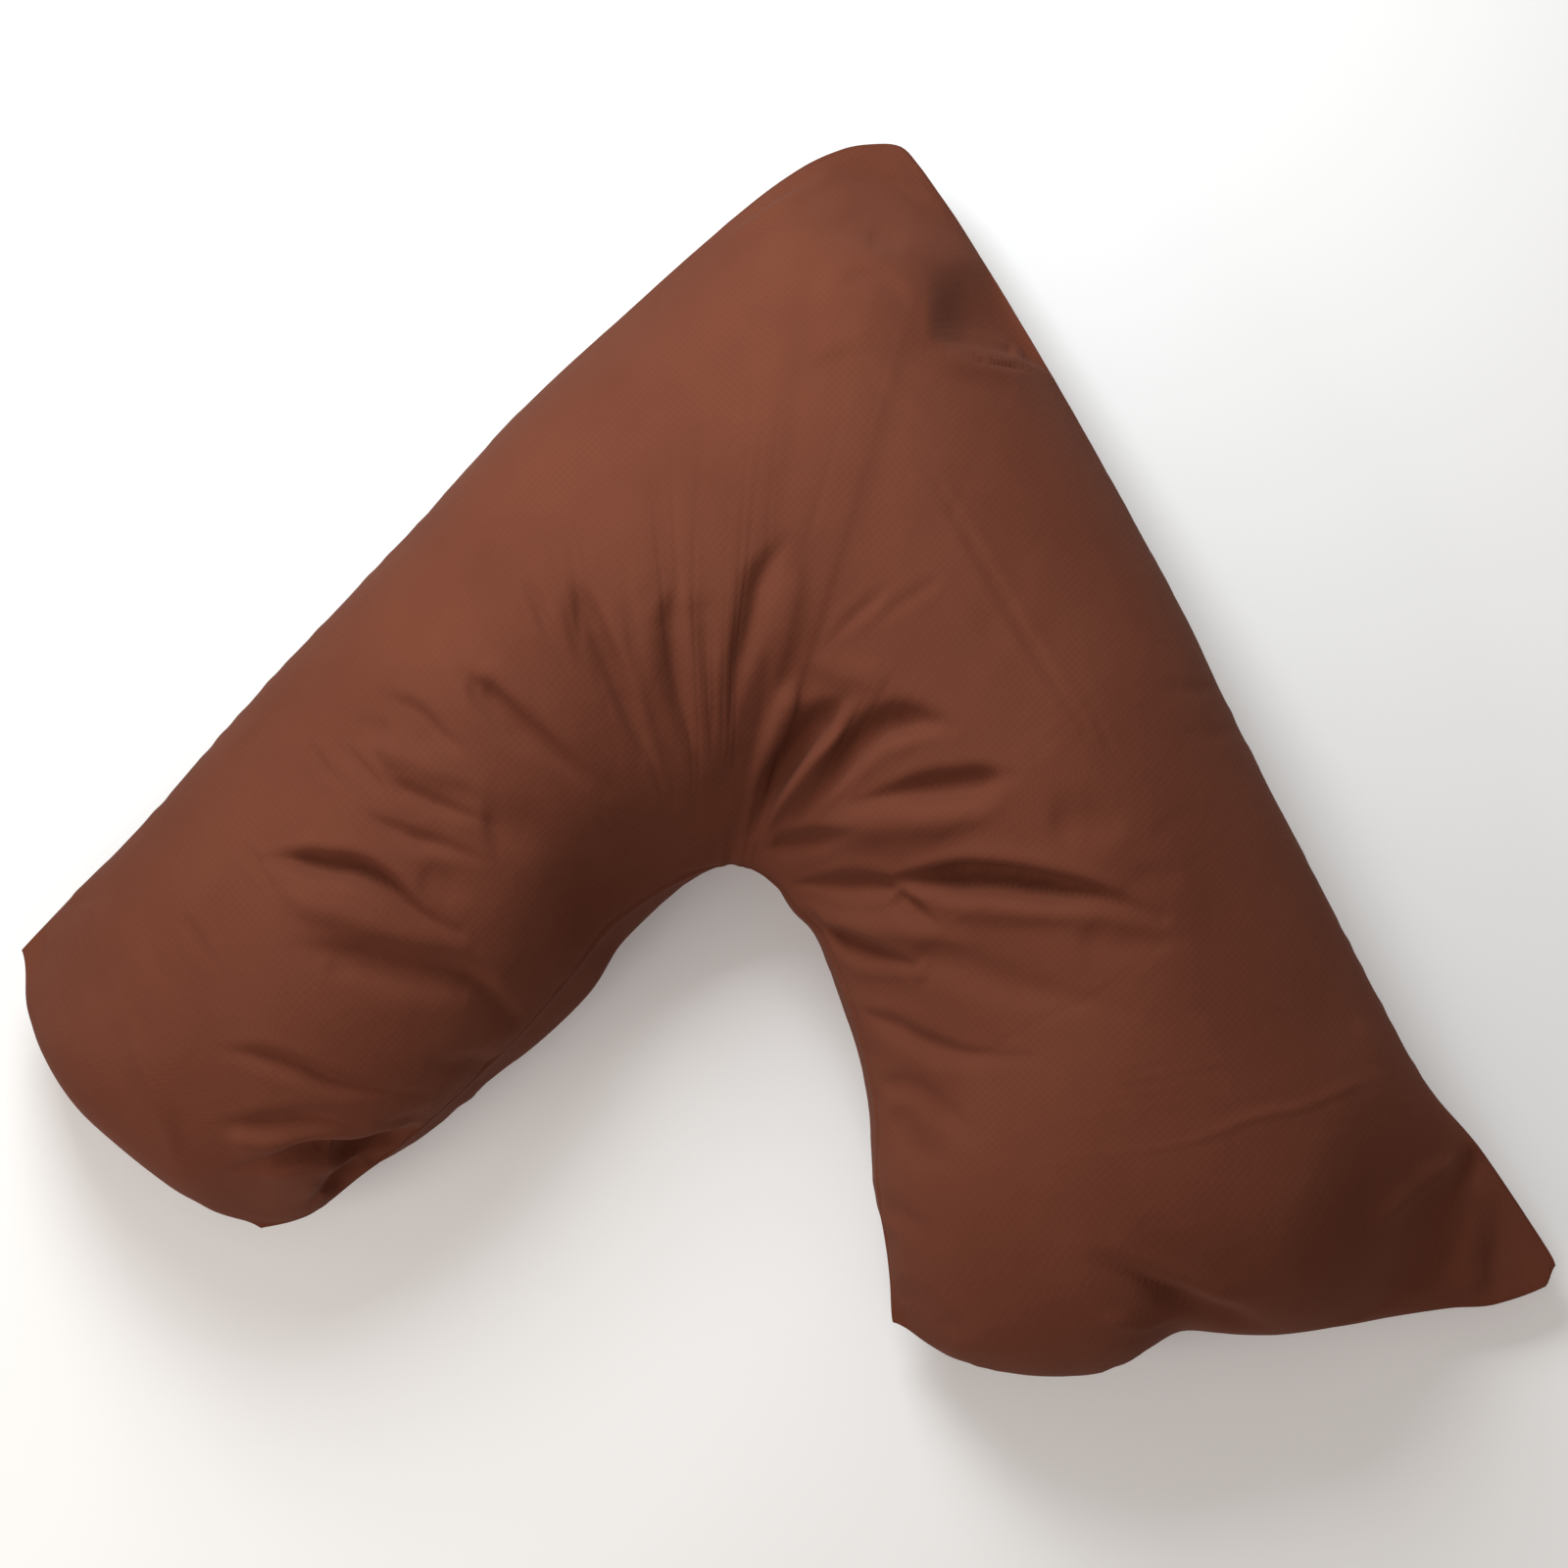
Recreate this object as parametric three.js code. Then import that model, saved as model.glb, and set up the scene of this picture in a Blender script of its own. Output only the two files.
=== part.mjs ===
// A V-shaped pillow in its plain cotton case, lying on its back on a surface.
// Two like V-shaped panels are sewn edge to edge round a full filling, so the pillow is one filled solid:
// a front panel with its crown and folds, a back panel with a flat patch where it rests, and empty corners.
// Millimetres, +Z up. The origin is on the surface, under the middle of the pillow's box. The V's bend
// points along +Y, its long arm ends at +X, and both arms reach towards -Y.
import * as THREE from "three";

// Driving dimensions of the case and its filling.
const CASE = {
  seamHalf: 1.5, // half of the thickness of the two sewn edges
  restShare: 1.3, // how deep the back would hang below the seam, as a share of the seam's height
  restRound: 12, // height over which the back panel rounds off its flat patch
  bellyArc: 1, // how far round the back, in radians from the inner seam, its belly reaches
  seamGuard: 9, // distance from the seam over which the folds fade out
};

// How finely the cloth is divided.
const MESH = { frontColumns: 30, backColumns: 12, rows: 104, endRows: 7, foldSteps: 20, slopeStep: 1e-3 };

// Where the filling stops short of an arm's end, and how far it swells the end seam outwards.
const END_DOME = 95;
const SWELL_REACH = 110;

// A fold fades over this share of its length at either tip, to this share of its depth.
const FOLD_FADE = 0.3;
const FOLD_TIP = 0.25;

const CLOTH = { color: 0x7d4836, roughness: 0.93, metalness: 0 };

// One row for each section of the V, from the left arm's end round the bend to the right arm's end.
// outer and inner are the places of the seam on the outside and the inside of the V, top is the height
// of the crown, crest is where it lies from the outer seam (0) to the inner one (1), slack is how gently
// the cloth leaves the outer seam (1 is round), and belly is how far the back swells towards the inside
// of the V just under the inner seam, where a strip of it shows past that seam from above.
const SECTIONS = table(
  ["outerX", "outerY", "outerZ", "innerX", "innerY", "innerZ", "top", "crest", "slack", "belly"],
  [
    [-456, -114, 52, -308, -277, 40, 142, 0.5, 1.2, 0],
    [-410, -67, 64, -251, -247, 62, 156, 0.49, 1.1, 16],
    [-373, -33, 72, -214, -219, 76, 168, 0.48, 1.0, 20],
    [-319, 29, 79, -162, -170, 86, 178, 0.47, 1.0, 22],
    [-262, 88, 82, -127, -131, 90, 182, 0.46, 1.0, 23],
    [-213, 140, 81, -104, -102, 90, 184, 0.46, 1.05, 21],
    [-158, 204, 78, -81, -84, 86, 187, 0.47, 1.1, 17],
    [-94, 264, 75, -60, -72, 82, 189, 0.5, 1.2, 10],
    [-27, 323, 70, -43, -65, 78, 188, 0.54, 1.4, 6],
    [34, 361, 62, -33, -63, 76, 184, 0.57, 1.6, 5],
    [72, 362, 56, -26, -64, 76, 182, 0.58, 1.7, 5],
    [106, 317, 60, -19, -66, 76, 181, 0.55, 1.5, 5],
    [136, 265, 68, -12, -70, 77, 183, 0.5, 1.2, 5],
    [173, 202, 75, -4, -77, 78, 185, 0.46, 1.05, 6],
    [203, 147, 79, 6, -90, 79, 186, 0.43, 1.0, 8],
    [234, 89, 81, 20, -105, 80, 185, 0.41, 1.0, 9],
    [267, 20, 81, 34, -137, 80, 183, 0.4, 1.0, 9],
    [303, -49, 78, 46, -174, 79, 180, 0.4, 1.0, 8],
    [340, -119, 72, 53, -212, 76, 176, 0.42, 1.1, 8],
    [379, -188, 60, 54, -253, 68, 170, 0.46, 1.3, 8],
    [418, -236, 44, 61, -297, 56, 160, 0.5, 1.5, 6],
    [458, -300, 28, 65, -338, 42, 146, 0.56, 1.7, 0],
  ],
);

// How far the seam across each arm's end swells outwards, at even steps from the outer corner to the
// inner one. The right arm's end has a flat ear, a notch and then a full pouch.
const LEFT_END = table(["swell"], [[0], [21], [31], [34], [30], [24], [16], [0]]);
const RIGHT_END = table(
  ["swell"],
  [[0], [19], [20], [22], [25], [25], [22], [18], [36], [38], [34], [24], [0]],
);

// The corners of the case that the filling doesn't reach: reach is how far each lies slack.
const CORNERS = table(
  ["x", "y", "reach"],
  [
    [-456, -114, 62], // left arm, outside
    [-308, -276, 52], // left arm, inside
    [70, 366, 105], // point of the V
    [464, -300, 185], // right arm, outside: a flat ear
    [64, -340, 40], // right arm, inside
  ],
);

// Folds pressed into the front panel, each along a bent line from one point by another to a third.
// A positive depth is a trough and a negative one a ridge. width is half of the fold's width.
const FOLDS = table(
  ["fromX", "fromY", "viaX", "viaY", "toX", "toY", "width", "depth"],
  [
    // gathers that fan out from the inside of the bend
    [-182, 59, -152, 20, -112, -18, 15, 8],
    [-123, 104, -109, 62, -90, -20, 19, 11],
    [-66, 103, -64, 49, -44, -32, 13, 9],
    [-3, 131, -26, 87, -34, 25, 12, 8],
    [6, 60, -12, 3, -22, -38, 10, -6],
    [28, 32, -2, 6, -23, -46, 13, 12],
    [54, 40, 22, 10, -2, -36, 9, -6],
    [92, 25, 40, 24, 11, -27, 12, 11],
    [136, -4, 98, -10, 44, -20, 10, 6],
    [120, -19, 60, -23, 8, -35, 9, -5],
    [40, -42, 17, -46, -10, -51, 10, 6],
    // folds across the right arm
    [220, -85, 150, -65, 62, -64, 15, 12],
    [203, -100, 145, -86, 84, -80, 13, -6],
    [64, -68, 34, -72, 2, -74, 9, 8],
    [58, -70, 75, -85, 88, -99, 9, 7],
    [18, -100, 49, -111, 80, -123, 9, 7],
    [228, -108, 197, -105, 168, -105, 14, 5],
    [152, -173, 110, -174, 54, -148, 13, 4],
    // folds across the left arm
    [-235, 42, -209, 23, -181, 4, 14, 5],
    [-236, -6, -206, -21, -178, -34, 13, 6],
    [-246, -34, -209, -47, -175, -59, 13, 5],
    [-306, -59, -244, -68, -190, -101, 16, 9],
    [-296, -80, -250, -90, -214, -108, 14, -4],
    [-286, -107, -232, -124, -166, -126, 15, 7],
    [-329, -167, -283, -179, -228, -194, 14, 6],
    [-326, -213, -279, -208, -240, -211, 12, 5],
    [-314, -237, -267, -231, -205, -219, 13, 10],
    [-276, -258, -258, -249, -236, -242, 11, 7],
    // hollows beside the slack corners, and the fold between the filled end and the ear
    [98, 318, 104, 285, 106, 258, 30, 20],
    [80, 248, 112, 244, 140, 240, 13, -5],
    [408, -244, 378, -276, 396, -316, 27, 9],
    [180, -284, 238, -313, 318, -334, 15, 12],
  ],
);

// Turns rows of numbers into records with the given column names.
function table(columns, rows) {
  return rows.map((row) => Object.fromEntries(columns.map((name, i) => [name, row[i]])));
}

function lerp(a, b, share) {
  return a + (b - a) * share;
}

function smooth(share) {
  const t = Math.min(1, Math.max(0, share));
  return t * t * (3 - 2 * t);
}

// A smooth curve through one column of a table, at a place counted in rows.
function columnAt(rows, column, place) {
  const last = rows.length - 1;
  const i = Math.min(last - 1, Math.max(0, Math.floor(place)));
  const t = place - i;
  const value = (k) => rows[Math.min(last, Math.max(0, k))][column];
  const [before, a, b, after] = [value(i - 1), value(i), value(i + 1), value(i + 2)];
  const slopeA = (b - before) / 2;
  const slopeB = (after - a) / 2;
  return (
    a + slopeA * t + (3 * (b - a) - 2 * slopeA - slopeB) * t * t + (2 * (a - b) + slopeA + slopeB) * t ** 3
  );
}

// The outward swell of an end seam at a share of the way across. The rows of an end are evenly spaced.
function swellAt(end, across) {
  return columnAt(end, "swell", across * (end.length - 1));
}

function sectionAt(place) {
  const columns = Object.keys(SECTIONS[0]).map((name) => [name, columnAt(SECTIONS, name, place)]);
  return Object.fromEntries(columns);
}

// Walks the V's middle line and gives, for each place in the table, how far along the line it lies.
function middleLine(steps) {
  const line = [{ place: 0, run: 0 }];
  let before = sectionAt(0);
  for (let k = 1; k <= steps; k++) {
    const place = ((SECTIONS.length - 1) * k) / steps;
    const here = sectionAt(place);
    const outer = Math.hypot(here.outerX - before.outerX, here.outerY - before.outerY);
    const inner = Math.hypot(here.innerX - before.innerX, here.innerY - before.innerY);
    line.push({ place, run: line[k - 1].run + (outer + inner) / 2 });
    before = here;
  }
  return line;
}

const MIDDLE = middleLine(800);
const LENGTH = MIDDLE[MIDDLE.length - 1].run;

function placeAtRun(run) {
  const next = Math.max(1, MIDDLE.findIndex((point) => point.run >= run));
  const [a, b] = [MIDDLE[next - 1], MIDDLE[next]];
  return lerp(a.place, b.place, Math.min(1, (run - a.run) / (b.run - a.run)));
}

// Runs of all mesh rows: bunched where each end domes down to its seam, and even between.
function rowRuns() {
  const bunched = Array.from({ length: MESH.endRows }, (_, k) => {
    return END_DOME * (1 - Math.cos((k / MESH.endRows) * (Math.PI / 2)));
  });
  const even = Array.from({ length: MESH.rows + 1 }, (_, k) => {
    return lerp(END_DOME, LENGTH - END_DOME, k / MESH.rows);
  });
  return [...bunched, ...even, ...bunched.map((run) => LENGTH - run).reverse()];
}

// How full the case is at a point: 0 at an end seam or a slack corner's tip, 1 where it is well filled.
function fullness(run, x, y) {
  const toEnd = Math.min(1, Math.min(run, LENGTH - run) / END_DOME);
  let full = Math.sqrt(Math.max(0, 1 - (1 - toEnd) ** 2));
  for (const corner of CORNERS) {
    full *= smooth(Math.hypot(x - corner.x, y - corner.y) / corner.reach);
  }
  return full;
}

// A point of the cloth before its folds. angle runs from 0 at the outer seam to PI at the inner one.
function smoothPoint(run, angle, side) {
  const section = sectionAt(placeAtRun(run));
  const even = (1 - Math.cos(angle)) / 2;
  const across = even ** (Math.log(section.crest) / Math.log(0.5));
  const outer = new THREE.Vector3(section.outerX, section.outerY, section.outerZ);
  const inner = new THREE.Vector3(section.innerX, section.innerY, section.innerZ);
  const point = outer.clone().lerp(inner, across);

  const outwards = new THREE.Vector3(inner.y - outer.y, outer.x - inner.x, 0).normalize();
  const leftSwell = swellAt(LEFT_END, across) * smooth(1 - run / SWELL_REACH);
  const rightSwell = swellAt(RIGHT_END, across) * smooth(1 - (LENGTH - run) / SWELL_REACH);
  point.addScaledVector(outwards, leftSwell - rightSwell);

  const full = fullness(run, point.x, point.y);
  const seamZ = point.z;
  if (side === "front") {
    const roundness = lerp(section.slack, 1, smooth(across));
    const rise = Math.sin(angle) ** roundness * full;
    point.z = seamZ + CASE.seamHalf + (section.top - seamZ) * rise;
    return point;
  }
  const hang = seamZ - CASE.seamHalf - seamZ * CASE.restShare * Math.sin(angle) * full;
  point.z = restHeight(hang);
  const bellyAt = Math.sin(Math.PI * smooth((Math.PI - angle) / CASE.bellyArc)) * full;
  const inwards = inner.clone().sub(outer).setZ(0).normalize();
  point.addScaledVector(inwards, section.belly * bellyAt);
  return point;
}

// The height of the back panel: flat on the surface, rounding off over a short height.
function restHeight(hang) {
  const round = CASE.restRound;
  if (hang >= round) return hang;
  if (hang <= -round) return 0;
  return (hang + round) ** 2 / (4 * round);
}

// A fold's middle line as short steps.
function foldLine(fold) {
  const curve = new THREE.QuadraticBezierCurve(
    new THREE.Vector2(fold.fromX, fold.fromY),
    new THREE.Vector2(2 * fold.viaX - (fold.fromX + fold.toX) / 2, 2 * fold.viaY - (fold.fromY + fold.toY) / 2),
    new THREE.Vector2(fold.toX, fold.toY),
  );
  return curve.getPoints(MESH.foldSteps);
}

const FOLD_LINES = FOLDS.map((fold) => ({ ...fold, line: foldLine(fold) }));

// The distance from a point to a fold's line, and the share of the line's length where it is nearest.
function nearestOnLine(line, x, y) {
  let [distance, along] = [Infinity, 0];
  for (let k = 0; k + 1 < line.length; k++) {
    const [a, b] = [line[k], line[k + 1]];
    const [dx, dy] = [b.x - a.x, b.y - a.y];
    const share = Math.min(1, Math.max(0, ((x - a.x) * dx + (y - a.y) * dy) / (dx * dx + dy * dy)));
    const away = Math.hypot(a.x + dx * share - x, a.y + dy * share - y);
    if (away < distance) [distance, along] = [away, (k + share) / (line.length - 1)];
  }
  return { distance, along };
}

// How far the folds press the front panel in at a point.
function foldDepth(x, y) {
  let depth = 0;
  for (const fold of FOLD_LINES) {
    const { distance, along } = nearestOnLine(fold.line, x, y);
    if (distance > 2.5 * fold.width) continue;
    const fade = smooth(along / FOLD_FADE) * smooth((1 - along) / FOLD_FADE);
    depth += fold.depth * lerp(FOLD_TIP, 1, fade) * Math.exp(-((distance / fold.width) ** 2));
  }
  return depth;
}

// A point of the front panel with its folds, pressed in square to the smooth cloth.
function foldedPoint(run, angle) {
  const point = smoothPoint(run, angle, "front");
  const step = MESH.slopeStep;
  const alongRun = smoothPoint(Math.min(LENGTH, run + step * LENGTH), angle, "front");
  alongRun.sub(smoothPoint(Math.max(0, run - step * LENGTH), angle, "front"));
  const acrossRun = smoothPoint(run, Math.min(Math.PI, angle + step), "front");
  acrossRun.sub(smoothPoint(run, Math.max(0, angle - step), "front"));
  const facing = acrossRun.cross(alongRun).normalize();
  if (facing.z < 0) facing.negate();

  const section = sectionAt(placeAtRun(run));
  const width = Math.hypot(section.innerX - section.outerX, section.innerY - section.outerY);
  const fromSeam = (width * Math.sin(angle) ** 2) / 4;
  const fromEnd = Math.min(run, LENGTH - run);
  const guard = smooth(Math.min(fromSeam, fromEnd) / CASE.seamGuard);
  return point.addScaledVector(facing, -foldDepth(point.x, point.y) * guard);
}

// The closed skin: a ring of points for each row, and a thin sewn edge that closes each end.
function pillowGeometry() {
  const runs = rowRuns();
  const { frontColumns, backColumns } = MESH;
  const ringSize = frontColumns + backColumns + 2;
  const positions = [];
  for (const run of runs) {
    for (let j = 0; j <= frontColumns; j++) {
      positions.push(...foldedPoint(run, (Math.PI * j) / frontColumns).toArray());
    }
    for (let j = backColumns; j >= 0; j--) {
      positions.push(...smoothPoint(run, (Math.PI * j) / backColumns, "back").toArray());
    }
  }

  const faces = [];
  for (let i = 0; i + 1 < runs.length; i++) {
    for (let j = 0; j < ringSize; j++) {
      const here = i * ringSize;
      const next = (j + 1) % ringSize;
      const [a, b, c, d] = [here + j, here + next, here + ringSize + j, here + ringSize + next];
      faces.push(a, b, c, b, d, c);
    }
  }
  faces.push(...endFaces(0, true), ...endFaces((runs.length - 1) * ringSize, false));

  const geometry = new THREE.BufferGeometry();
  geometry.setAttribute("position", new THREE.Float32BufferAttribute(positions, 3));
  geometry.setIndex(faces);
  geometry.computeVertexNormals();
  return geometry;
}

// Zips the front and the back edge of an end ring together, always stepping the one that lags.
function endFaces(first, flip) {
  const { frontColumns, backColumns } = MESH;
  const frontAt = (j) => first + j;
  const backAt = (j) => first + frontColumns + 1 + (backColumns - j);
  const faces = [];
  let [f, b] = [0, 0];
  while (f < frontColumns || b < backColumns) {
    const stepFront = b === backColumns || (f < frontColumns && f / frontColumns <= b / backColumns);
    const third = stepFront ? frontAt(f + 1) : backAt(b + 1);
    const face = [frontAt(f), third, backAt(b)];
    faces.push(...(flip ? face.reverse() : face));
    if (stepFront) f++;
    else b++;
  }
  return faces;
}

// Moves a geometry sideways until the middle of its box is over the origin.
function centred(geometry) {
  geometry.computeBoundingBox();
  const middle = geometry.boundingBox.getCenter(new THREE.Vector3());
  return geometry.translate(-middle.x, -middle.y, 0);
}

const pillow = new THREE.Mesh(centred(pillowGeometry()), new THREE.MeshStandardMaterial(CLOTH));
pillow.name = "pillow";

const part = new THREE.Group();
part.add(pillow);

export default part;
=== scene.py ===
"""A V-shaped pillow in its plain brown cotton case, lying on its back.

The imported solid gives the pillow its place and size. This file makes the cloth that shows: a front and a
back panel sewn edge to edge round the filling, with their gathers, hollows and creases, settled by a short
cloth simulation, and the woven cotton finish. Sizes in the tables are millimetres in the pillow's own frame,
with +Y towards the point of the V and +X towards the end of its long arm. Blender's objects are in metres.
"""
import sys

import logging
import math
from dataclasses import dataclass, field
from enum import Enum

import bpy
import numpy as np
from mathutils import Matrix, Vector

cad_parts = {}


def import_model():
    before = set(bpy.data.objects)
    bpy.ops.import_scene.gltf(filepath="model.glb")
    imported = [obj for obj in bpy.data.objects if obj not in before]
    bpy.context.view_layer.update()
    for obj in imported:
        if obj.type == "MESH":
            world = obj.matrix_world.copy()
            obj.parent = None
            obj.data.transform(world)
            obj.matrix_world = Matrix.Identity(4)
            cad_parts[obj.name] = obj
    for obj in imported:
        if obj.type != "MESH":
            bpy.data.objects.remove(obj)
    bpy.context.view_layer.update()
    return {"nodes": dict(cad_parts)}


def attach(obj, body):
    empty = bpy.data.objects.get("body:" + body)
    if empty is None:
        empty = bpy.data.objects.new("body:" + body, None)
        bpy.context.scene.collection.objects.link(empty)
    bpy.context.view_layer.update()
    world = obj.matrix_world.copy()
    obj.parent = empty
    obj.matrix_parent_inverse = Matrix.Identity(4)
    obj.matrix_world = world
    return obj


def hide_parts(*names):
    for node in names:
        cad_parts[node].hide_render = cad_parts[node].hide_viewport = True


MM = 0.001
CLOTH_LAYER = "cloth"
TINY = 1e-9
LOG = logging.getLogger("pillow")

Array = np.ndarray


class Side(Enum):
    """The two cloth panels of the case."""

    FRONT = "front"
    BACK = "back"


class Edge(Enum):
    """The two long seams of the case, outside and inside the V."""

    OUTER = "outer"
    INNER = "inner"


class FoldKind(Enum):
    """How a fold is shaped across its line."""

    TROUGH = "trough"
    RIDGE = "ridge"


class Draw(Enum):
    """The random grids that make the cloth uneven, each by its seed."""

    WANDER = 11
    PATCHES = 12
    WIDE_WRINKLES = 13
    THIN_WRINKLES = 14
    FINE_CREASES = 15
    STITCHES = 21
    FRONT_PUCKERS = 22
    BACK_PUCKERS = 23


@dataclass(frozen=True)
class Section:
    """One section of the V, across an arm or the bend.

    outer and inner are the places of the seam outside and inside the V. top is the height of the crown,
    crest is where it lies from the outer seam (0) to the inner one (1), slack is how gently the cloth
    leaves the outer seam (1 is round), and belly is how far the back swells past the inner seam.
    """

    outer_x: float
    outer_y: float
    outer_z: float
    inner_x: float
    inner_y: float
    inner_z: float
    top: float
    crest: float
    slack: float
    belly: float


@dataclass(frozen=True)
class Corner:
    """A corner of the case that the filling doesn't reach."""

    x: float
    y: float
    reach: float


@dataclass(frozen=True)
class Lump:
    """A soft rise of the filling under the front, or a hollow where height is negative."""

    x: float
    y: float
    reach: float
    height: float


@dataclass(frozen=True)
class Dent:
    """A patch of the front pressed in, within a rectangle turned anticlockwise by some degrees.

    long and broad are half of its sides, and the four edges say over how much the cloth goes down there.
    """

    x: float
    y: float
    turn: float
    long: float
    broad: float
    depth: float
    left_edge: float
    right_edge: float
    lower_edge: float
    upper_edge: float

    def depth_at(self, x: Array, y: Array) -> Array:
        """Tell how far the dent is pressed in at points.

        Args:
            x: The points' places across the frame.
            y: Their places up the frame.

        Returns:
            The depth at each point, 0 outside the dent.
        """
        turn = math.radians(self.turn)
        across = (x - self.x) * math.cos(turn) + (y - self.y) * math.sin(turn)
        along = (y - self.y) * math.cos(turn) - (x - self.x) * math.sin(turn)
        inside = smooth((self.long + across) / self.left_edge)
        inside = inside * smooth((self.long - across) / self.right_edge)
        inside = inside * smooth((self.broad + along) / self.lower_edge)
        inside = inside * smooth((self.broad - along) / self.upper_edge)
        return self.depth * inside


@dataclass(frozen=True)
class Fold:
    """A fold along a smooth line through a few points, which begins bluntly and runs out towards its end.

    width is half of its width and depth how far it is pressed in, or raised for a ridge. lean makes the
    side to the left of its direction steeper (towards 1) or the right one (towards -1). sharp turns a
    round bottom (0) into a crease between rolled rims (1).
    """

    path: tuple[tuple[float, float], ...]
    width: float
    depth: float
    lean: float = 0.0
    sharp: float = 0.0
    kind: FoldKind = FoldKind.TROUGH


# Sections from the left arm's end round the bend to the right arm's end.
SECTIONS = (
    Section(-456, -114, 52, -315, -282, 38, 140, 0.50, 1.20, 0),
    Section(-433, -90, 58, -284, -273, 48, 148, 0.49, 0.95, 6),
    Section(-410, -67, 64, -251, -248, 60, 156, 0.48, 0.78, 7),
    Section(-373, -33, 72, -214, -219, 76, 168, 0.46, 0.72, 11),
    Section(-319, 29, 79, -162, -170, 86, 178, 0.45, 0.72, 17),
    Section(-262, 88, 82, -127, -131, 90, 182, 0.44, 0.74, 23),
    Section(-213, 140, 81, -104, -102, 90, 184, 0.44, 0.80, 21),
    Section(-158, 204, 78, -81, -84, 86, 187, 0.46, 0.95, 17),
    Section(-94, 264, 75, -60, -72, 82, 189, 0.50, 1.20, 10),
    Section(-27, 324, 70, -43, -65, 78, 188, 0.56, 1.30, 6),
    Section(9, 351, 66, -37, -64, 77, 186, 0.57, 1.40, 5),
    Section(33, 363, 62, -33, -63, 76, 184, 0.58, 1.50, 5),
    Section(51, 367, 58, -30, -63, 76, 183, 0.57, 1.58, 5),
    Section(69, 366, 57, -27, -64, 76, 182, 0.56, 1.65, 5),
    Section(80, 355, 57, -25, -64, 76, 182, 0.55, 1.70, 5),
    Section(92, 338, 58, -22, -65, 76, 182, 0.54, 1.73, 5),
    Section(106, 317, 60, -19, -66, 76, 181, 0.53, 1.75, 5),
    Section(137, 265, 68, -12, -70, 77, 183, 0.49, 1.75, 5),
    Section(173, 202, 75, -4, -77, 78, 185, 0.46, 1.65, 6),
    Section(203, 147, 79, 6, -90, 79, 186, 0.44, 1.55, 8),
    Section(234, 89, 81, 20, -105, 80, 185, 0.43, 1.40, 9),
    Section(267, 20, 81, 34, -137, 80, 183, 0.43, 1.35, 9),
    Section(303, -49, 78, 46, -174, 79, 180, 0.43, 1.30, 8),
    Section(340, -119, 72, 53, -212, 76, 176, 0.44, 1.30, 8),
    Section(379, -188, 60, 54, -253, 68, 170, 0.46, 1.30, 8),
    Section(419, -235, 44, 61, -297, 56, 160, 0.50, 1.50, 6),
    Section(459, -293, 31, 64, -331, 44, 149, 0.55, 1.65, 1),
    Section(466, -306, 28, 65, -338, 42, 146, 0.56, 1.70, 0),
)

# How far the seam across each arm's end swells outwards, at even steps from its outer corner to its
# inner one.
LEFT_END = (0, 21, 31, 34, 30, 24, 16, 0)
RIGHT_END = (0, 19, 20, 22, 25, 25, 22, 18, 36, 38, 34, 24, 0)

# The corners where the case is slack: two at each arm's end, and one at the point of the V. The ear is the
# outer one at the right arm's end.
CORNERS = (
    Corner(-456, -114, 62),
    Corner(-315, -281, 54),
    Corner(70, 366, 86),
    Corner(465, -304, 185),
    Corner(64, -340, 40),
)

# The uneven filling: where it is heaped up, and where it is drawn in, most of all inside the bend.
LUMPS = (
    Lump(-72, 192, 80, -7),
    Lump(5, -108, 125, -25),
    Lump(-60, 12, 70, -9),
    Lump(178, -10, 76, 10),
    Lump(72, 272, 54, 12),
    Lump(-133, 60, 100, 9),
    Lump(306, -152, 40, -3),
)

# The slack pocket beside the point of the V and the wider sag round it, the hollow of the ear at the right
# arm's end, and two tucks at the left arm's inner corner.
DENTS = (
    Dent(122, 264, -3, 42, 32, 24, 28, 2, 9, 44),
    Dent(128, 268, -6, 46, 36, 38, 84, 2, 12, 46),
    Dent(374, -279, -12, 30, 40, 5, 26, 20, 16, 20),
    Dent(-237, -231, 24, 27, 10, 42, 24, 6, 7, 4),
    Dent(-261, -250, 36, 14, 7, 34, 10, 5, 5, 3),
)

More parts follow.
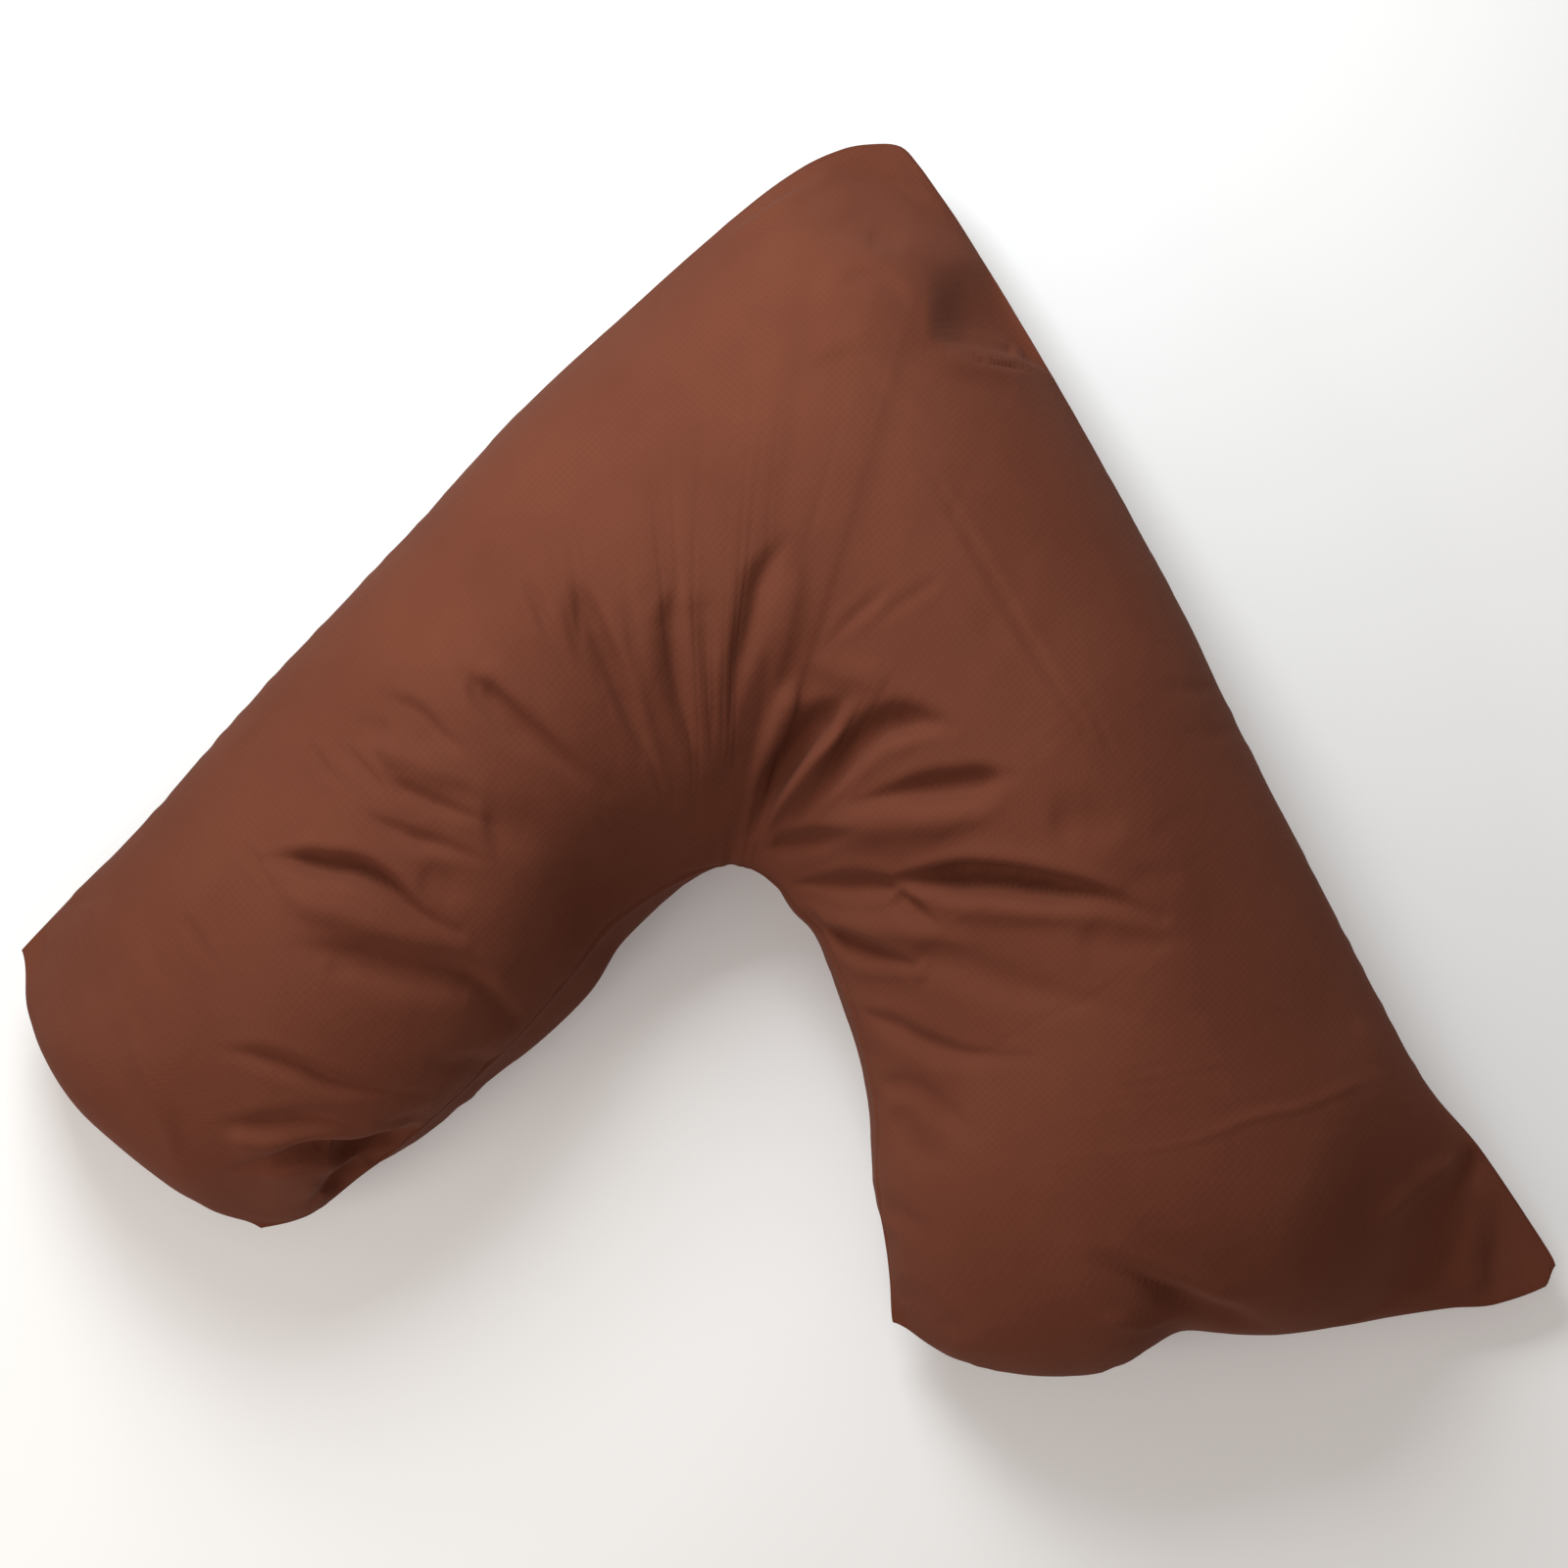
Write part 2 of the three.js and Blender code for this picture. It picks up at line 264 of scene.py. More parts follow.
# The folds of the cloth. Those round the inside of the bend start beside it; the others are short.
FOLDS = (
    # the fan from the inside of the bend, from the left arm round to the right one
    Fold(((-175, 47), (-164, 42), (-140, 21), (-105, -9)), 9, 4, 0, 0, FoldKind.RIDGE),
    Fold(((-180, 46), (-162, 32), (-139, 11), (-103, -19)), 9, 7, 0, 0.1),
    Fold(((-149, 106), (-138, 82), (-122, 49)), 4, 2, 0, 1),
    Fold(((-120, 101), (-108, 71), (-95, 40), (-82, 2)), 8, 6.5, 0.2, 0.2),
    Fold(((-111, 89), (-98, 54), (-85, 21), (-71, -17)), 4.5, 2.6, 0, 1),
    Fold(((-63, 95), (-64, 68), (-60, 35), (-50, -4)), 7, 4, 0.2, 0.4),
    Fold(((-49, 91), (-46, 68), (-44, 46)), 9, 2),
    Fold(((0, 120), (-13, 101), (-20, 73), (-28, 46), (-32, 19)), 7, 4.5, 0.2, 0.2),
    Fold(((6, 107), (0, 74), (-7, 41)), 9, 3, 0, 0, FoldKind.RIDGE),
    Fold(((60, 44), (35, 47), (13, 55)), 8, 3, 0, 0, FoldKind.RIDGE),
    Fold(((56, 94), (38, 79), (22, 62)), 4, 1.6, 0, 0.8),
    Fold(((88, 101), (68, 89), (49, 74)), 4, 1.3, 0, 0.8),
    Fold(((6, 42), (-6, 16), (-19, -14)), 7, 5, 0, 0, FoldKind.RIDGE),
    Fold(((34, 32), (14, 14), (-5, -15), (-19, -44)), 7.5, 9.5, 0.2, 0.3),
    Fold(((35, 17), (15, -1), (-4, -27), (-11, -41)), 5.5, 5, 0, 0, FoldKind.RIDGE),
    Fold(((93, 17), (66, 20), (46, 12), (27, -11), (7, -35)), 8, 10, 0.2, 0.3),
    Fold(((124, -11), (101, -14), (72, -18), (41, -26)), 8, 8, -0.3, 0.2),
    Fold(((115, -31), (71, -36), (36, -38), (4, -42)), 11, 5, 0, 0, FoldKind.RIDGE),
    Fold(((-10, -53), (11, -48), (40, -41)), 6.5, 5, 0.2, 0.1),
    # across the right arm
    Fold(((66, -76), (47, -73), (28, -73), (6, -74)), 6, 8, 0, 0.3),
    Fold(((58, -71), (89, -68), (115, -68), (145, -72), (178, -78), (211, -90)), 7.5, 14, 0.2, 0.3),
    Fold(((91, -86), (126, -84), (170, -92)), 9, 2.5, 0, 0, FoldKind.RIDGE),
    Fold(((59, -77), (72, -86), (86, -97)), 5, 7, 0, 0.3),
    Fold(((14, -98), (36, -107), (56, -114), (79, -122)), 6, 9, 0.3, 0.3),
    Fold(((6, -87), (39, -95), (71, -100), (107, -105)), 8, 3.5, 0, 0, FoldKind.RIDGE),
    Fold(((74, -119), (77, -123), (76, -129)), 4, 3, 0, 0, FoldKind.RIDGE),
    Fold(((69, -113), (91, -117), (132, -129), (193, -143)), 11, 3.5),
    Fold(((162, -101), (189, -104), (222, -102)), 10, 2.5),
    Fold(((40, -148), (61, -155), (80, -164), (102, -169), (139, -169)), 7, 4, 0.2, 0.3),
    Fold(((47, -193), (72, -192), (91, -203), (106, -216)), 9, 3, 0.2),
    Fold(((145, -38), (170, -36), (193, -38)), 15, 3),
    Fold(((58, -203), (73, -223), (92, -234)), 11, 3),
    # across the left arm
    Fold(((-229, 36), (-207, 25), (-194, 13), (-179, 3)), 6, 5.5, 0.2, 0.3),
    Fold(((-244, 21), (-231, 16), (-221, 12)), 6, 2.5, 0, 0.2),
    Fold(((-233, 8), (-204, -3), (-172, -17)), 9, 5, 0, 0, FoldKind.RIDGE),
    Fold(((-273, 10), (-260, -6), (-246, -21)), 3.5, 2.6, 0, 1),
    Fold(((-251, 7), (-235, -9), (-220, -26)), 3.5, 2.8, 0, 1),
    Fold(((-224, -12), (-197, -25), (-164, -38)), 4.5, 4, 0.2, 0.5),
    Fold(((-238, -31), (-214, -43), (-193, -49), (-167, -59)), 5, 4.5, 0.2, 0.4),
    Fold(((-208, -66), (-192, -71), (-176, -78)), 10, 2),
    Fold(((-172, -39), (-151, -40), (-114, -58)), 14, 3),
    Fold(
        ((-294, -57), (-277, -57), (-258, -60), (-239, -63), (-222, -73), (-206, -87), (-185, -98)),
        6.5, 9.5, 0.1, 0.4,
    ),
    Fold(((-285, -71), (-267, -82), (-244, -88), (-215, -99), (-184, -107)), 9, 5, 0, 0, FoldKind.RIDGE),
    Fold(
        ((-275, -106), (-245, -111), (-215, -118), (-183, -125), (-170, -135), (-155, -155)),
        10, 6.5, 0.2, 0.1,
    ),
    Fold(((-259, -117), (-251, -120), (-242, -123)), 6, 1.5),
    Fold(((-307, -49), (-298, -62), (-288, -78)), 3.5, 2.6, 0, 1),
    Fold(((-345, -86), (-332, -107), (-315, -129)), 4, 1.8, 0, 1),
    Fold(((-365, -103), (-352, -129), (-342, -154)), 5, 0.9, 0, 1),
    Fold(
        ((-322, -165), (-298, -169), (-278, -176), (-261, -184), (-241, -189), (-208, -194)),
        5.5, 6, 0.2, 0.3,
    ),
    Fold(((-322, -209), (-300, -209), (-282, -207), (-264, -208), (-244, -214)), 6, 6, 0.2, 0.2),
    Fold(((-322, -219), (-301, -220), (-279, -218)), 7, 3.5, 0, 0, FoldKind.RIDGE),
    Fold(
        ((-212, -219), (-229, -225), (-249, -230), (-274, -229), (-293, -232), (-317, -237)),
        6, 14, 0.2, 0.2,
    ),
    Fold(((-306, -243), (-291, -241), (-276, -239)), 6, 2, 0, 0, FoldKind.RIDGE),
    Fold(((-233, -232), (-250, -241), (-266, -251), (-282, -266)), 6, 8, 0, 0.2),
    Fold(((-375, -149), (-365, -180), (-357, -208), (-351, -242)), 7, 3.5, 0, 0, FoldKind.RIDGE),
    # beside the point of the V: the slack pocket and its pleats, and the edge that rolls back on the left
    Fold(((138, 242), (112, 244), (80, 245)), 4.5, 2.6, 0, 0, FoldKind.RIDGE),
    Fold(((144, 228), (112, 231), (79, 235)), 3.5, 3.2, 0, 0.7),
    Fold(((131, 239), (136, 238), (140, 234)), 4, 3, 0, 0, FoldKind.RIDGE),
    Fold(((135, 210), (111, 215), (92, 219)), 10, 1.2),
    Fold(((47, 306), (58, 302), (65, 292)), 10, 2),
    Fold(((-33, 304), (-4, 324), (31, 348)), 5, 3, 0, 0, FoldKind.RIDGE),
    Fold(((-36, 312), (-7, 332), (28, 356)), 4.5, 3, 0, 0.3),
    # creases left from being folded flat
    Fold(((68, 180), (101, 126), (136, 65), (165, 19), (190, -22)), 3.5, 1.7, 0, 1),
    Fold(((171, 24), (180, 8), (190, -10)), 3, 0.9, 0, 1),
    Fold(
        ((355, -182), (323, -189), (292, -199), (263, -204), (223, -218), (160, -226)),
        2.6, 1.3, 0.3, 0, FoldKind.RIDGE,
    ),
    Fold(((329, -152), (339, -166), (349, -183)), 5, 1.5, 0, 0, FoldKind.RIDGE),
    # the fold between the filled end of the right arm and its ear, and the ear
    Fold(((280, -332), (249, -322), (214, -304), (175, -284)), 7.5, 6, 0.3, 0.3),
    Fold(((264, -315), (226, -297), (189, -277)), 6, 3, 0, 0, FoldKind.RIDGE),
    Fold(((178, -322), (207, -326), (230, -322)), 5, 3, 0, 0, FoldKind.RIDGE),
    Fold(((344, -271), (373, -250), (404, -237)), 7.5, 4.5, 0, 0, FoldKind.RIDGE),
    Fold(((422, -232), (409, -245), (391, -263)), 9, 4),
    Fold(((412, -325), (409, -293), (413, -262)), 11, 3.5, 0, 0, FoldKind.RIDGE),
    Fold(((212, 41), (234, 39), (260, 43)), 5, 0.7, 0, 0.4),
    Fold(((222, 15), (245, 13), (273, 18)), 5, 0.6, 0, 0.4),
)


def smooth(share: Array) -> Array:
    """Ease a share from 0 to 1 with level ends.

    Args:
        share: Any numbers; they are held to 0 to 1.

    Returns:
        The eased shares.
    """
    t = np.clip(share, 0.0, 1.0)
    return t * t * (3 - 2 * t)


def mix(a: Array, b: Array, share: Array) -> Array:
    """Return the value that lies a share of the way from a to b."""
    return a + (b - a) * share


def curve_at(values: Array, place: Array) -> Array:
    """Follow a smooth curve through evenly spaced values.

    Args:
        values: The values, one for each step.
        place: Where to read the curve, counted in steps.

    Returns:
        The curve's value at each place.
    """
    last = len(values) - 1
    step = np.clip(np.floor(place).astype(int), 0, last - 1)
    t = place - step
    before, a, b, after = (values[np.clip(step + k, 0, last)] for k in (-1, 0, 1, 2))
    slope_a, slope_b = (b - before) / 2, (after - a) / 2
    bend = 3 * (b - a) - 2 * slope_a - slope_b
    twist = 2 * (a - b) + slope_a + slope_b
    return a + slope_a * t + bend * t**2 + twist * t**3


def grid_share(count: int) -> Array:
    """Return how far across a panel each of its columns lies, from 0 to 1, closer together at the seams."""
    return (1 - np.cos(np.linspace(0, np.pi, count))) / 2


def linear(hex_colour: str) -> tuple[float, float, float, float]:
    """Turn an sRGB hex colour into the linear colour that shaders take.

    Args:
        hex_colour: Six hex digits, with or without a leading #.

    Returns:
        Red, green, blue and an alpha of 1.
    """
    digits = hex_colour.lstrip("#")
    parts = [int(digits[k : k + 2], 16) / 255 for k in (0, 2, 4)]
    red, green, blue = (c / 12.92 if c <= 0.04045 else ((c + 0.055) / 1.055) ** 2.4 for c in parts)
    return red, green, blue, 1.0


def add_node(
    tree: bpy.types.NodeTree,
    kind: str,
    settings: dict[str, object] | None = None,
    values: dict[str | int, object] | None = None,
    links: dict[str | int, bpy.types.NodeSocket] | None = None,
) -> bpy.types.Node:
    """Add a shader node with its settings, input values and links.

    Args:
        tree: The node tree that takes the node.
        kind: Blender's name for the kind of node.
        settings: Properties of the node itself.
        values: Values of its inputs, by the input's name or number.
        links: What feeds its inputs, by the input's name or number.

    Returns:
        The new node.
    """
    node = tree.nodes.new(kind)
    for name, value in (settings or {}).items():
        setattr(node, name, value)
    for name, value in (values or {}).items():
        node.inputs[name].default_value = value
    for name, source in (links or {}).items():
        tree.links.new(source, node.inputs[name])
    return node


@dataclass
class PillowForm:
    """The filled case before its folds, worked out from its sections. All sizes are millimetres."""

    seam_half: float = 1.2  # half of the thickness of the two sewn edges
    rest_share: float = 1.3  # how deep the back would hang below the seam, as a share of the seam's height
    rest_round: float = 12.0  # height over which the back rounds off its flat patch
    belly_arc: float = 1.0  # how far round the back its belly reaches, in radians from the inner seam
    end_dome: float = 84.0  # how far from an arm's end the filling begins to dome down to it
    swell_reach: float = 110.0  # how far up an arm the swell of its end seam is felt
    ear_blunt: float = 9.0  # how far the end seam swells out at once beside the ear's tip, to blunt it
    # shares of the end seam over which that comes in and fades
    ear_shares: tuple[float, float] = (0.018, 0.08)
    centre_shift: tuple[float, float] = (-1.0, 0.1)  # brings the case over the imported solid
    middle_steps: int = 1600
    columns: dict[str, Array] = field(init=False)
    places: Array = field(init=False)
    runs: Array = field(init=False)
    outer_runs: Array = field(init=False)

    def __post_init__(self) -> None:
        """Read the sections into columns and walk the V's middle line."""
        names = Section.__dataclass_fields__
        self.columns = {name: np.array([getattr(s, name) for s in SECTIONS], float) for name in names}
        self.places = np.linspace(0, len(SECTIONS) - 1, self.middle_steps + 1)
        steps = [np.hypot(*np.diff(self.seam(edge, self.places)[:, :2].T, axis=1)) for edge in Edge]
        self.runs = np.concatenate([[0.0], np.cumsum((steps[0] + steps[1]) / 2)])
        self.outer_runs = np.concatenate([[0.0], np.cumsum(steps[0])])

    @property
    def length(self) -> float:
        """The length of the V's middle line."""
        return float(self.runs[-1])

    def from_end(self, run: Array) -> Array:
        """Return how far points are from the nearer end of the V's middle line."""
        return np.minimum(run, self.length - run)

    def seam(self, edge: Edge, place: Array) -> Array:
        """Find points of a long seam.

        Args:
            edge: Which seam.
            place: Places in the table of sections.

        Returns:
            The points, with their coordinates on the last axis.
        """
        return np.stack([curve_at(self.columns[f"{edge.value}_{axis}"], place) for axis in "xyz"], axis=-1)

    def fullness(self, run: Array, x: Array, y: Array) -> Array:
        """Tell how full the case is at points.

        Args:
            run: How far along the middle line each point lies.
            x: Their places across the frame.
            y: Their places up the frame.

        Returns:
            0 at an end seam or a slack corner's tip, up to 1 where the case is well filled.
        """
        to_end = np.clip(self.from_end(run) / self.end_dome, 0, 1)
        full = np.sqrt(np.maximum(0, 1 - (1 - to_end) ** 2))
        for corner in CORNERS:
            full = full * smooth(np.hypot(x - corner.x, y - corner.y) / corner.reach)
        return full

    def rest_height(self, hang: Array) -> Array:
        """Lay the back panel on the surface.

        Args:
            hang: The heights that the back would have if nothing held it up.

        Returns:
            0 where it would hang lower, rounded off above that.
        """
        rounding = np.clip(hang + self.rest_round, 0, None) ** 2 / (4 * self.rest_round)
        return np.where(hang >= self.rest_round, hang, rounding)

    def end_swell(self, run: Array, across: Array) -> Array:
        """Tell how far points are moved on by the swell of the end seams.

        Args:
            run: How far along the middle line each point lies.
            across: How far across the arm it lies, from the outer seam (0) to the inner one (1).

        Returns:
            The distance towards the left arm's end, negative towards the right one.
        """
        left = curve_at(np.array(LEFT_END, float), across * (len(LEFT_END) - 1))
        right = curve_at(np.array(RIGHT_END, float), across * (len(RIGHT_END) - 1))
        turn, out = self.ear_shares
        right = right + self.ear_blunt * smooth(across / turn) * smooth(1 - (across - turn / 2) / out)
        left = left * smooth(1 - run / self.swell_reach)
        right = right * smooth(1 - (self.length - run) / self.swell_reach)
        return left - right

    def points(self, run: Array, angle: Array, side: Side) -> Array:
        """Place points of one panel.

        Args:
            run: How far along the middle line each point lies.
            angle: 0 at the outer seam to pi at the inner one, for each point.
            side: Which panel.

        Returns:
            The points, with their coordinates on the last axis.
        """
        place = np.interp(run, self.runs, self.places)
        at = {name: curve_at(values, place) for name, values in self.columns.items()}
        outer, inner = self.seam(Edge.OUTER, place), self.seam(Edge.INNER, place)
        across = ((1 - np.cos(angle)) / 2) ** (np.log(at["crest"]) / np.log(0.5))
        point = mix(outer, inner, across[..., None])

        inwards = (inner - outer) * (1, 1, 0)
        inwards /= np.linalg.norm(inwards, axis=-1, keepdims=True)
        outwards = np.stack([inwards[..., 1], -inwards[..., 0], 0 * run], axis=-1)
        point = point + outwards * self.end_swell(run, across)[..., None]

        full = self.fullness(run, point[..., 0], point[..., 1])
        seam_z = point[..., 2].copy()
        bow = np.clip(np.sin(angle), 0, 1)
        if side is Side.FRONT:
            roundness = mix(at["slack"], 1.0, smooth(across))
            point[..., 2] = seam_z + self.seam_half + (at["top"] - seam_z) * bow**roundness * full
        else:
            hang = seam_z - self.seam_half - seam_z * self.rest_share * bow * full
            point[..., 2] = self.rest_height(hang)
            swell = at["belly"] * np.sin(np.pi * smooth((np.pi - angle) / self.belly_arc)) * full
            point = point + inwards * swell[..., None]
        return point + np.array([*self.centre_shift, 0.0])


@dataclass
class FoldField:
    """How far a set of folds presses the cloth in at a point, seen from above. Millimetres."""

    folds: tuple[Fold, ...]
    steps: int = 7  # pieces of a fold's line between two of its points
    fade_in: float = 0.28  # share of its length over which a fold begins
    fade_out: float = 0.5  # share of its length over which it runs out
    tip: float = 0.12  # share of its depth that is left at the tips
    tip_width: float = 0.5  # share of its width that is left there
    reach: float = 3.2  # how far out a fold is felt, in widths
    lean_share: float = 0.6  # how much narrower a full lean makes the steep side
    rim_height: float = 0.45  # height of a crease's rolled rims, as a share of its depth
    rim_place: float = 1.7  # where the rims stand, in widths
    rim_spread: float = 0.8  # how broad they are
    crease_fall: float = 1.6  # how fast a sharp crease rises from its line

    def line(self, fold: Fold) -> Array:
        """Draw a fold's middle line.

        Args:
            fold: The fold.

        Returns:
            Points of a smooth curve through the fold's own ones.
        """
        path = np.array(fold.path, float)
        place = np.linspace(0, len(path) - 1, self.steps * (len(path) - 1) + 1)
        return np.stack([curve_at(path[:, 0], place), curve_at(path[:, 1], place)], axis=1)

    def depth(self, x: Array, y: Array) -> Array:
        """Add up the folds at points.

        Args:
            x: The points' places across the frame.
            y: Their places up the frame.

        Returns:
            How far each point is pressed in; ridges are negative.
        """
        total = np.zeros_like(x)
        for fold in self.folds:
            line = self.line(fold)
            reach = self.reach * fold.width
            low, high = line.min(axis=0) - reach, line.max(axis=0) + reach
            near = (x > low[0]) & (x < high[0]) & (y > low[1]) & (y < high[1])
            if near.any():
                total[near] += self.one_depth(fold, line, x[near], y[near])
        return total

    def one_depth(self, fold: Fold, line: Array, x: Array, y: Array) -> Array:
        """Tell how far one fold presses points in.

        Args:
            fold: The fold.
            line: Its middle line.
            x: The points' places across the frame.
            y: Their places up the frame.

        Returns:
            The depth at each point.
        """
        best = np.full(x.shape, np.inf)
        signed = np.zeros_like(x)
        along = np.zeros_like(x)
        for k in range(len(line) - 1):
            a, d = line[k], line[k + 1] - line[k]
            share = np.clip(((x - a[0]) * d[0] + (y - a[1]) * d[1]) / (d @ d), 0, 1)
            off_x, off_y = x - a[0] - d[0] * share, y - a[1] - d[1] * share
            away = np.hypot(off_x, off_y)
            closer = away < best
            best = np.where(closer, away, best)
            signed = np.where(closer, away * np.sign(d[0] * off_y - d[1] * off_x), signed)
            along = np.where(closer, (k + share) / (len(line) - 1), along)
        fade = smooth(along / self.fade_in) * smooth((1 - along) / self.fade_out)
        lean = self.lean_share * fold.lean
        width = fold.width * np.where(signed > 0, 1 - lean, 1 + lean)
        t = signed / (width * mix(self.tip_width, 1.0, fade))
        rims = self.rim_height * np.exp(-((np.abs(t) - self.rim_place) ** 2) / self.rim_spread)
        crease = np.exp(-self.crease_fall * np.abs(t)) - rims
        shape = mix(np.exp(-(t**2)), crease, fold.sharp)
        sign = -1 if fold.kind is FoldKind.RIDGE else 1
        return sign * fold.depth * mix(self.tip, 1.0, fade) * shape


def even_noise(along: Array, across: Array, draw: Draw) -> Array:
    """Return smooth random heights on a grid of unit cells.

    Args:
        along: Places along the grid, in cells.
        across: Places across the grid, in cells.
        draw: Which of the random grids.

    Returns:
        Heights from -1 to 1.
    """
    cells = 64
    table = np.random.default_rng(draw.value).uniform(-1, 1, (cells, cells))
    cell_u, cell_v = np.floor(along).astype(int), np.floor(across).astype(int)
    u, v = smooth(along - cell_u), smooth(across - cell_v)
    left, right, low, high = cell_u % cells, (cell_u + 1) % cells, cell_v % cells, (cell_v + 1) % cells
    return mix(mix(table[left, low], table[right, low], u), mix(table[left, high], table[right, high], u), v)


@dataclass(frozen=True)
class Unevenness:
    """A random grid that is laid along and across an arm. Millimetres."""

    draw: Draw
    cell: float  # length of its cells along the arm
    lanes: float  # how many of them lie side by side across the arm

    def at(self, run: Array, across: Array) -> Array:
        """Return its smooth heights, from -1 to 1, at runs and shares across the arm."""
        return even_noise(run / self.cell, across * self.lanes, self.draw)


@dataclass
class Wrinkles:
    """Fine wrinkles across the arms, strongest where they lie like a comb beside the bend. Millimetres."""

    wide: Unevenness = Unevenness(Draw.WIDE_WRINKLES, 17.0, 2.2)
    thin: Unevenness = Unevenness(Draw.THIN_WRINKLES, 9.35, 3.0)
    stray: Unevenness = Unevenness(Draw.WANDER, 70.0, 3.0)  # how the wrinkles wander as they cross the arm
    patches: Unevenness = Unevenness(Draw.PATCHES, 45.0, 2.5)  # where they are stronger
    creased: Unevenness = Unevenness(Draw.FINE_CREASES, 30.0, 4.0)  # where thin creases run between them
    height: float = 1.0
    thin_height: float = 0.35  # height of the thin wrinkles, as a share of the wide ones'
    stray_reach: float = 9.0
    patch_level: tuple[float, float] = (0.55, 0.45)  # share of the height that all have, and that varies
    crease_depth: float = 1.1
    crease_share: float = 0.16  # how much of a thin wrinkle its crease takes
    crease_level: float = 0.35  # how far creases spread, from -1 (nowhere) to 1
    comb: tuple[float, float] = (-155.0, 75.0)  # its middle, on the left arm
    comb_reach: float = 170.0
    comb_fade: float = 0.8  # share of that reach over which the wrinkles fade
    plain_share: float = 0.3  # share of their height that they keep away from the comb
    seam_share: float = 0.1  # the strip beside the outer seam without wrinkles, as a share of the arm's width
    fade_share: float = 0.3
    end_fade: float = 140.0
    least_room: float = 0.3  # they die out where the mesh's rows come this close

    def where(self, form: PillowForm, run: Array, across: Array, panel: Array) -> Array:
        """Tell where the front is wrinkled.

        Args:
            form: The pillow's form.
            run: How far along the middle line each point lies.
            across: How far across the arm it lies.
            panel: The front's points.

        Returns:
            0 where it is smooth, up to 1 by the comb.
        """
        from_comb = np.hypot(panel[..., 0] - self.comb[0], panel[..., 1] - self.comb[1])
        near = smooth((self.comb_reach - from_comb) / (self.comb_fade * self.comb_reach))
        share = mix(self.plain_share, 1.0, near)
        share = share * smooth((across - self.seam_share) / self.fade_share)
        share = share * smooth((1 - across) / self.fade_share)
        share = share * smooth(form.from_end(run) / self.end_fade)
        room = np.linalg.norm(np.gradient(panel[..., :2], axis=0), axis=-1)
        return share * smooth((room - self.least_room) / self.least_room)

    def height_at(self, form: PillowForm, runs: Array, panel: Array) -> Array:
        """Tell how far the wrinkles lift each point of the front.

        Args:
            form: The pillow's form.
            runs: The rows' runs.
            panel: The front's points.

        Returns:
            The height at each point.
        """
        run, across = np.meshgrid(runs, grid_share(panel.shape[1]), indexing="ij")
        run = run + self.stray_reach * self.stray.at(run, across)
        wide, thin = self.wide.at(run, across), self.thin.at(run, across)
        even, varied = self.patch_level
        patchy = even + varied * self.patches.at(run, across)
        creases = np.exp(-((thin / self.crease_share) ** 2))
        creases = creases * np.clip(self.creased.at(run, across) + self.crease_level, 0, 1)
        lift = patchy * self.height * (wide + self.thin_height * thin) - self.crease_depth * creases
        return self.where(form, run, across, panel) * lift


@dataclass(frozen=True)
class NoisePattern:
    """A noise that runs through the cloth: its real size, its make-up and how it stands in the surface."""

    size_mm: float
    detail: float
    roughness: float
    distortion: float = 0.0
    strength: float = 0.0  # of its bump, from 0 to 1
    relief_mm: float = 0.0


